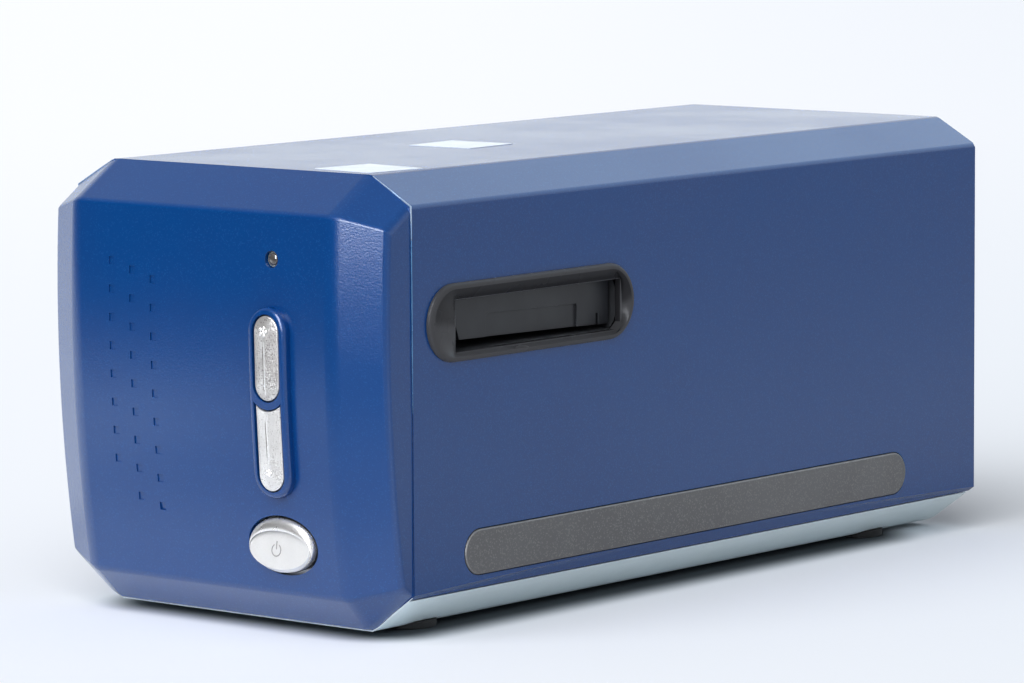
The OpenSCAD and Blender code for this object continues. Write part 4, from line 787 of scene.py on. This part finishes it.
def slot_trim(node, side):
    """A rolled rim, a dish that sinks to the opening, and walls. Its "rounding" paints a highlight
    along the mouth's edge, and paints shade on the dish, darker to the top, and on the walls
    inside."""
    inner = min(abs(corner.x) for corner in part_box(node)) / MM
    outer, mouth = pill_points(1.3), opening_points(0.2)
    # Painted shade on the dish, darker towards the top.
    dish = [-0.3 - 0.6 * min(max((z - TRIM_MIDDLE[1] + 1.5) / 4.0, 0.0), 1.0) for _, z in outer]
    # edge: painted highlight along the mouth; inside: painted shade on the walls.
    flat, edge, inside = ([level] * len(outer) for level in (0.0, 1.0, -1.0))
    rows = [(pill_points(1.15), inner, flat), (pill_points(1.15), TRIM_SEAT, flat),
            (pill_points(0.0), TRIM_SEAT, flat)]
    rows += [(pill_points(TRIM_LIP * (1 - c)), TRIM_RIM - TRIM_LIP * (1 - s), flat)
             for c, s in quarter(6)]
    for share in DISH_SHARES:
        between = [(a[0] + (b[0] - a[0]) * share, a[1] + (b[1] - a[1]) * share)
                   for a, b in zip(outer, mouth)]
        level = {0.0: flat, 1.0: edge}.get(share, dish)
        rows.append((between, TRIM_RIM - DISH_DEEP * share ** 1.35, level))
    rows += [(opening_points(0.0), TRIM_RIM - 2.6, inside), (opening_points(0.0), inner, inside)]
    mesh = skin(node, [[(side * x, y, z) for y, z in points] for points, x, _ in rows], loop=True,
                sharp=42)
    wear_and_light = [value for _, _, level in rows for value in level]
    mesh.attributes.new("rounding", "FLOAT", "POINT").data.foreach_set("value", wear_and_light)
    pieces[node] = add_piece(node + "_dished", mesh, body_of[node], "black_trim", slot_of[node])
    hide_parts(node)


def light_lens(reach=1.62, dome=0.75):
    """Domed clear lens on the end of the light pipe."""
    low, high = (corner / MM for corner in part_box("light_pipe"))
    profile = [(reach * s, low.y + 0.02 - dome * c) for c, s in quarter(8)]
    profile += [(reach, low.y + 0.5), (0.0, low.y + 0.5)]
    mesh = turned("light_lens", profile, (low.x + high.x) / 2, (low.z + high.z) / 2)
    add_piece("status_light_lens", mesh, "root", "smoky_lens", "clear_plastic")


# ---- marks on the buttons

def front_of(node):
    """Finds where a line along Y at (x, z) in mm first meets a piece: y in mm, and the normal."""
    mesh = pieces[node].data
    tree = BVHTree.FromPolygons([v.co for v in mesh.vertices], [p.vertices for p in mesh.polygons])

    def meet(x, z):
        place, normal, _, _ = tree.ray_cast(Vector((x, -300.0, z)) * MM, Vector((0, 1, 0)))
        return place.y / MM, normal
    return meet


def button_strip(node, name, x, low, high, profile, material, steps=14):
    """A thin upright strip, tapered at its ends. profile: (sideways, proud) in mm."""
    meet = front_of(node)
    rows = []
    for k in range(steps + 1):
        z = low + (high - low) * k / steps
        y = meet(x, z)[0] + 0.02
        taper = min(1.0, 2.6 * k / steps, 2.6 * (steps - k) / steps)
        rows.append([(x + across, y - proud * taper, z) for across, proud in profile])
    mesh = skin(node + name, rows, ring=False, to_front=True)
    add_piece(node + name, mesh, body_of[node], material, "silver_button")


def button_line(node, low, high, at=-0.45):
    """A scan button's engraved line: a groove coloured dark as painted shade, with a polished burr
    on its right.
    """
    x = sum(corner.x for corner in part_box(node)) / 2 / MM + at
    button_strip(node, "_groove", x, low, high,
                 ((-0.17, 0.0), (-0.06, 0.05), (0.06, 0.05), (0.17, 0.0)), "groove_shade")
    button_strip(node, "_burr", x + 0.42, low, high,
                 ((-0.26, 0.0), (-0.12, 0.09), (0.06, 0.11), (0.3, 0.0)), "polished_silver")


def new_maker(name, **takes):
    """A Geometry Nodes tree with named inputs: the tree, the inputs, their identifiers."""
    tree = bpy.data.node_groups.new(name, "GeometryNodeTree")
    keys = {}
    for label, value in {**takes, "Finish": None}.items():
        kind = {int: "Int", float: "Float"}.get(type(value), "Material")
        socket = new_socket(tree, label, kind)
        if value is not None:
            socket.default_value = value
        keys[label] = socket.identifier
    new_socket(tree, "Geometry", "Geometry", "OUTPUT")
    return tree, tree.nodes.new("NodeGroupInput").outputs, keys


def end_maker(tree, shape, material):
    """Makes instances real and gives them their finish."""
    solid = wire(tree, "GeometryNodeRealizeInstances", {0: shape.outputs[0]})
    dressed = wire(tree, "GeometryNodeSetMaterial", {
        "Geometry": solid.outputs[0], "Material": material})
    tree.links.new(dressed.outputs[0], tree.nodes.new("NodeGroupOutput").inputs[0])


def grown(name, maker, sizes, body, material, slot, place):
    """Adds a piece with the mesh that a Geometry Nodes tree makes, set in its place."""
    tree, _, keys = maker
    seed = place_object("seed", bpy.data.meshes.new("seed"))
    modifier = seed.modifiers.new("maker", "NODES")
    modifier.node_group = tree
    for label, value in {**sizes, "Finish": FINISHES[material]}.items():
        modifier[keys[label]] = value
    mesh = baked(seed)
    bpy.data.objects.remove(seed)
    mesh.name = name + "_mesh"
    mesh.transform(place)
    return add_piece(name, mesh, body, material, slot)


def rosette_maker():
    """Small round petals in a ring round a middle one, flat on the XY plane."""
    maker = new_maker("rosette", Petals=5, Ring=0.00074, Petal=0.00043, Flatten=0.6)
    tree, given, _ = maker
    around = wire(tree, "GeometryNodeMeshCircle", {
        "Vertices": given["Petals"], "Radius": given["Ring"]})
    middle = wire(tree, "GeometryNodeMeshCircle", {"Vertices": 3, "Radius": 0.0})
    single = wire(tree, "GeometryNodeMergeByDistance", {
        "Geometry": middle.outputs[0], "Distance": 0.0001})
    spots = wire(tree, "GeometryNodeJoinGeometry")
    for points in (around, single):
        tree.links.new(points.outputs[0], spots.inputs[0])
    petal = wire(tree, "GeometryNodeMeshUVSphere", {
        "Segments": 12, "Rings": 8, "Radius": given["Petal"]})
    smooth = wire(tree, "GeometryNodeSetShadeSmooth", {"Geometry": petal.outputs["Mesh"]})
    flat = wire(tree, "CombineXYZ", {0: 1.0, 1: 1.0, 2: given["Flatten"]})
    petals = wire(tree, "GeometryNodeInstanceOnPoints", {
        "Points": spots.outputs[0], "Instance": smooth.outputs[0], "Scale": flat.outputs[0]})
    end_maker(tree, petals, given["Finish"])
    return maker


ROSETTE = rosette_maker()


def button_rosette(node, height, size=1.0, at=-0.35):
    """The small raised rosette near a scan button's end."""
    x = sum(corner.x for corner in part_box(node)) / 2 / MM + at
    y, normal = front_of(node)(x, height)
    turn = Vector((0, 0, 1)).rotation_difference(normal).to_matrix().to_4x4()
    sizes = {"Ring": 0.00074 * size, "Petal": 0.00043 * size}
    grown(node + "_rosette", ROSETTE, sizes, body_of[node], "polished_bevel", "silver_button",
          Matrix.Translation(Vector((x, y, height)) * MM) @ turn)


POWER_MIDDLE = Vector((BUTTONS_X, front_at(POWER_HEIGHT), POWER_HEIGHT))
POWER_LEAN = Matrix.Rotation(asin((BOW_MIDDLE - POWER_HEIGHT) / BOW_RADIUS), 3, "X")


def power_band(name, rows, material, steps):
    """An oval band on the power button. rows: (half width, half height, drop, proud) in mm."""
    ovals = [[POWER_MIDDLE + POWER_LEAN @ Vector((wide * c, -proud, tall * s - drop))
              for c, s in circle(steps)] for wide, tall, drop, proud in rows]
    add_piece(name, skin(name, ovals, to_front=True), "power_switch", material, "silver_button")


def power_bevel():
    """The polished bevel, rolled over into the flat face, and a dark ring of painted shade in the
    gap round it.
    """
    roll = ((-0.06, -0.5), (0.0, 0.1), (0.16, 0.62), (0.42, 1.06), (0.74, 1.34), (1.0, 1.46),
            (1.06, 1.43))
    ring = [(11.15 - 0.45 * share, 7.05 - 1.5 * share, 1.1 * share, proud)
            for share, proud in roll]
    gap_shade = ((11.1, 7.0, 0.0, -0.3), (11.32, 7.22, 0.0, -0.42), (11.36, 7.26, 0.0, -0.7),
             (11.36, 7.26, 0.0, -2.6))
    power_band("power_button_ring", ring, "polished_bevel", 96)
    # A dark ring where the gap round the button lies in shade: painted shade.
    power_band("power_button_gap_shade", gap_shade, "foot_rubber", 72)


def power_symbol(radius=1.55, gap=0.55, across=-1.0, middle=23.1, bead=0.15):
    """The generic sign for power: an open ring and a bar."""
    meet = front_of("power_button")
    ring = [(across + radius * sin(t), radius * cos(t))
            for t in (gap + 2 * (pi - gap) * k / 28 for k in range(29))]
    bar = [(across, z) for z in (0.2, 0.9, 1.6, 2.3)]
    for name, line in (("ring", ring), ("bar", bar)):
        points = [(BUTTONS_X + x, meet(BUTTONS_X + x, middle + z)[0] - 0.02, middle + z, bead)
                  for x, z in line]
        tube("power_symbol_" + name, points, "power_switch", "engraved_grey", "silver_button")


# ---- beads with painted highlights in the seams, and lead screw

# Beads in the seam behind the bezel, carrying a painted highlight, as (x, z, radius) in mm
SEAM = -115.62
SIDE_LIPS = {
    "corner_lip_": ("bright_blue_highlight", ((46.2, 120.15, 0.12), (52.0, 116.9, 0.2), (58.9, 113.0, 0.24),
                                    (59.02, 109.0, 0.22), (59.05, 104.0, 0.14))),
    "seam_lip_": ("lip_blue", ((59.03, 104.4, 0.17), (59.03, 98.0, 0.17), (59.03, 90.0, 0.16),
                               (59.03, 80.0, 0.14), (59.03, 70.0, 0.11), (59.03, 60.0, 0.05))),
}
TRAY_LIP = ((58.3, 12.1, 0.1), (52.2, 7.6, 0.26), (46.0, 2.9, 0.26), (44.6, 2.15, 0.22),
            (20.0, 2.12, 0.2), (0.0, 2.12, 0.2))


def front_lips():
    """Beads with a painted highlight along the bezel's rear edge, brightest at the sloping corners,
    and along the tray's front lip.
    """
    for side, name in ((1, "right"), (-1, "left")):
        for kind, (material, line) in SIDE_LIPS.items():
            tube(kind + name, [(side * x, SEAM, z, radius) for x, z, radius in line], "root",
                 material, "blue_shell", sides=6)
    line = [(-x, z, radius) for x, z, radius in TRAY_LIP] + list(TRAY_LIP[-2::-1])
    tube("tray_front_lip", [(x, SEAM + 0.1, z, radius) for x, z, radius in line], "root",
         "silver_highlight", "silver_base", sides=6)


def thread_maker():
    """A diamond ridge wound round the Z axis, from Z = 0 up."""
    maker = new_maker("thread", Turns=10.0, Radius=0.003, Length=0.02, Ridge=0.0005)
    tree, given, _ = maker
    middle = maths(tree, "SUBTRACT", given["Radius"], given["Ridge"])
    wound = wire(tree, "GeometryNodeCurveSpiral", {
        "Resolution": 20, "Rotations": given["Turns"], "Start Radius": middle,
        "End Radius": middle, "Height": given["Length"]})
    steady = wire(tree, "GeometryNodeSetCurveNormal", {"Curve": wound.outputs[0]}, mode="Z_UP")
    ridge = wire(tree, "GeometryNodeCurvePrimitiveCircle", {
        "Resolution": 4, "Radius": given["Ridge"]})
    swept = wire(tree, "GeometryNodeCurveToMesh", {
        "Curve": steady.outputs[0], "Profile Curve": ridge.outputs[0], "Fill Caps": True})
    end_maker(tree, swept, given["Finish"])
    return maker


def lead_screw(pitch=2.0, journal=2.0, start=-98.5):
    """A turned core with its journals, and the thread wound round it."""
    node = "lead_screw"
    low, high = (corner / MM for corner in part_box(node))
    outer, z = (high.x - low.x) / 2, (low.z + high.z) / 2
    core = [(0.0, low.y), (journal - 0.3, low.y), (journal, low.y + 0.3), (journal, start - 1.5),
            (outer - 1.0, start - 1.3), (outer - 0.85, start - 1.0), (outer - 0.85, high.y - 0.4),
            (outer - 1.2, high.y), (0.0, high.y)]
    mesh = turned("lead_screw_core", core, 0.0, z, 32, sharp=35)
    screw = add_piece("lead_screw_core", mesh, body_of[node], "bright_steel", slot_of[node])
    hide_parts(node)
    length = high.y - 1.5 - start
    sizes = {"Turns": length / pitch, "Radius": outer * MM * 0.995, "Length": length * MM,
             "Ridge": 0.0006}
    laid = Matrix.Translation(Vector((0.0, start, z)) * MM) @ Matrix.Rotation(-pi / 2, 4, "X")
    pieces[node] = grown("lead_screw_thread", thread_maker(), sizes, body_of[node],
                         "bright_steel", slot_of[node], laid)


def finish_other_solids():
    for node, solid in cad.items():
        if node not in pieces:
            solid.data.materials.clear()
            solid.data.materials.append(FINISHES[slot_of[node]])


# ---- floor, lights and camera

def paint_floor():
    """Pale floor with painted shade towards the right and a painted shadow under the object.
    Reflections find painted pools of light and painted shade on it, and the light it throws back is
    plain."""
    material = bpy.data.materials.new("pale floor")
    material.use_nodes = True
    tree = material.node_tree
    tree.nodes.remove(tree.nodes["Principled BSDF"])
    rays = wire(tree, "LightPath").outputs
    place = wire(tree, "TexCoord").outputs["Object"]
    spot = wire(tree, "SeparateXYZ", {0: place}).outputs
    # The floor as seen: lighter far back, and painted shade towards the right.
    right_shade = ramp(tree, dot(tree, place, (0.77, 0.64, 0.0)), -0.25, 0.5)
    close = paint(tree, rgba((0.87, 0.895, 0.94)), (right_shade, (0.78, 0.82, 0.875)))
    distant = paint(tree, rgba((0.93, 0.94, 0.973)), (right_shade, (0.855, 0.88, 0.925)))
    away = ramp(tree, dot(tree, place, (-0.64, 0.77, 0.0)), 0.2, 1.8)
    past = []
    for way, reach in (("X", 0.036), ("Y", 0.101)):
        beyond = maths(tree, "SUBTRACT", maths(tree, "ABSOLUTE", spot[way]), reach)
        past.append(maths(tree, "MAXIMUM", beyond, 0.0))
    edge = maths(tree, "SQRT", maths(tree, "ADD", *(product(tree, far, far) for far in past)))
    # Painted shadow under and round the object's footprint.
    seen_with_shadow = paint(tree, blend_colour(tree, away, close, distant),
                 (ramp(tree, edge, 0.025, 0.01), (0.09, 0.1, 0.11)))
    apart = wire(tree, "VectorMath", {0: place}, operation="LENGTH").outputs["Value"]
    # For reflections: painted falloff far away, painted pools of light to the left and at the
    # front, painted shadow at the side and painted darkness far in front.
    mirrored = paint(
        tree, rgba((0.86, 0.89, 0.93)),
        (ramp(tree, apart, 0.3, 1.3), (0.5, 0.52, 0.55)),  # far away
        (zone(tree, spot, ("X", -0.1, -0.2)), (1.55, 1.62, 1.68)),  # to the left
        (zone(tree, spot, ("X", 0.14, 0.09), ("X", 0.03, 0.05), ("Y", -0.13, -0.09)),
         (0.6, 0.62, 0.65)),  # at the side
        (zone(tree, spot, ("Y", -0.095, -0.115), ("X", -0.16, -0.12), ("Y", -0.24, -0.17)),
         (1.4, 1.46, 1.54)),  # at the front
        (zone(tree, spot, ("Y", -0.3, -0.56), ("X", 0.3, 0.12)), (0.02, 0.024, 0.03)))
    tone = blend_colour(tree, rays["Is Glossy Ray"], seen_with_shadow, mirrored)
    tone = paint(tree, tone, (rays["Is Diffuse Ray"], (0.84, 0.85, 0.87)))
    cloth = wire(tree, "BsdfDiffuse", {"Color": tone})
    tree.links.new(cloth.outputs[0], tree.nodes["Material Output"].inputs[0])
    return material


def lay_floor(half=14.0):
    mesh = bpy.data.meshes.new("floor")
    mesh.from_pydata([(-half, -half, 0), (half, -half, 0), (half, half, 0), (-half, half, 0)], [],
                     [(0, 1, 2, 3)])
    mesh.materials.append(paint_floor())
    place_object("floor", mesh)


def paint_world():
    """Pale for the eye, a dim room with soft lights for reflections, a soft sky for light."""
    world = bpy.data.worlds.new("studio")
    bpy.context.scene.world = world
    world.use_nodes = True
    tree = world.node_tree
    tree.nodes.clear()
    rays = wire(tree, "LightPath").outputs
    way = wire(tree, "TexCoord").outputs["Generated"]
    side = wire(tree, "SeparateXYZ", {0: way}).outputs
    off_middle = maths(tree, "ABSOLUTE", maths(tree, "SUBTRACT", side["X"], 0.19))
    softbox = product(tree, ramp(tree, off_middle, 0.3, 0.14),
                      ramp(tree, side["Y"], -0.35, -0.5), ramp(tree, side["Z"], 0.0, 0.12))
    mirrored = paint(
        tree, rgba((0.01, 0.013, 0.02)),
        (zone(tree, side, ("Y", -0.4, 0.08)), (1.16, 1.22, 1.26)),  # the rear half
        (zone(tree, side, ("Z", 0.35, 0.75)), (0.42, 0.44, 0.48)),  # overhead
        (ramp(tree, dot(tree, way, (0.15, 0.76, 0.63)), 0.8, 0.93), (1.42, 1.72, 2.0)),
        (softbox, (17.0, 17.5, 18.2)),
        (zone(tree, side, ("X", 0.55, 0.85), ("Y", 0.0, -0.35)), (0.95, 0.98, 1.02)))
    height = ramp(tree, side["Z"], 0.0, 0.75, smooth=False)
    dome = paint(tree, rgba((0.14, 0.144, 0.148)), (height, (0.42, 0.435, 0.45)))
    reflected = maths(tree, "MAXIMUM", rays["Is Glossy Ray"], rays["Is Transmission Ray"])
    colour = paint(tree, blend_colour(tree, reflected, dome, mirrored),
                   (rays["Is Camera Ray"], (0.9, 0.93, 0.97)))
    sky = wire(tree, "Background", {"Color": colour, "Strength": 1.0})
    tree.links.new(sky.outputs[0], wire(tree, "OutputWorld").inputs[0])


def hang_key(strength=3.1, spread=70.0, towards=(0.1, -0.72, 0.68)):
    lamp = bpy.data.lights.new("soft key", "SUN")
    lamp.energy = strength
    lamp.angle = radians(spread)
    key = place_object("soft key", lamp)
    key.rotation_mode = "QUATERNION"
    key.rotation_quaternion = Vector(towards).to_track_quat("Z", "Y")
    key.visible_glossy = False


def set_camera(place=(941.114, -1133.609, 233.356), yaw=0.6951, pitch=0.1146, roll=-0.0063):
    ahead = Vector((-sin(yaw) * cos(pitch), cos(yaw) * cos(pitch), -sin(pitch)))
    right = ahead.cross(Vector((0, 0, 1))).normalized()
    up = right.cross(ahead)
    right, up = cos(roll) * right + sin(roll) * up, cos(roll) * up - sin(roll) * right
    lens = bpy.data.cameras.new("camera")
    lens.sensor_width = 36.0
    lens.lens = 186.8
    lens.clip_start = 0.05
    lens.clip_end = 100.0
    camera = place_object("camera", lens)
    turn = Matrix((right, up, -ahead)).transposed().to_4x4()
    camera.matrix_world = Matrix.Translation(Vector(place) * MM) @ turn
    bpy.context.scene.camera = camera


# ---- the whole scene

round_housing()
slot_trim("slot_trim_right", 1)
slot_trim("slot_trim_left", -1)
light_lens()
pieces["power_button"].data.materials[0] = FINISHES["power_silver"]
# The upper scan button takes the darker copy of the silver: painted shade.
pieces["scan_button_upper"].data.materials[0] = FINISHES["shaded_button_silver"]
island_rim()
button_rosette("scan_button_upper", 80.4, 1.3)
button_rosette("scan_button_lower", 43.6)
button_line("scan_button_upper", 62.6, 79.0)
button_line("scan_button_lower", 45.2, 59.2)
power_bevel()
power_symbol()
front_lips()
lead_screw()
finish_other_solids()

lay_floor()
paint_world()
hang_key()
set_camera()
bpy.context.scene.view_settings.view_transform = "Standard"
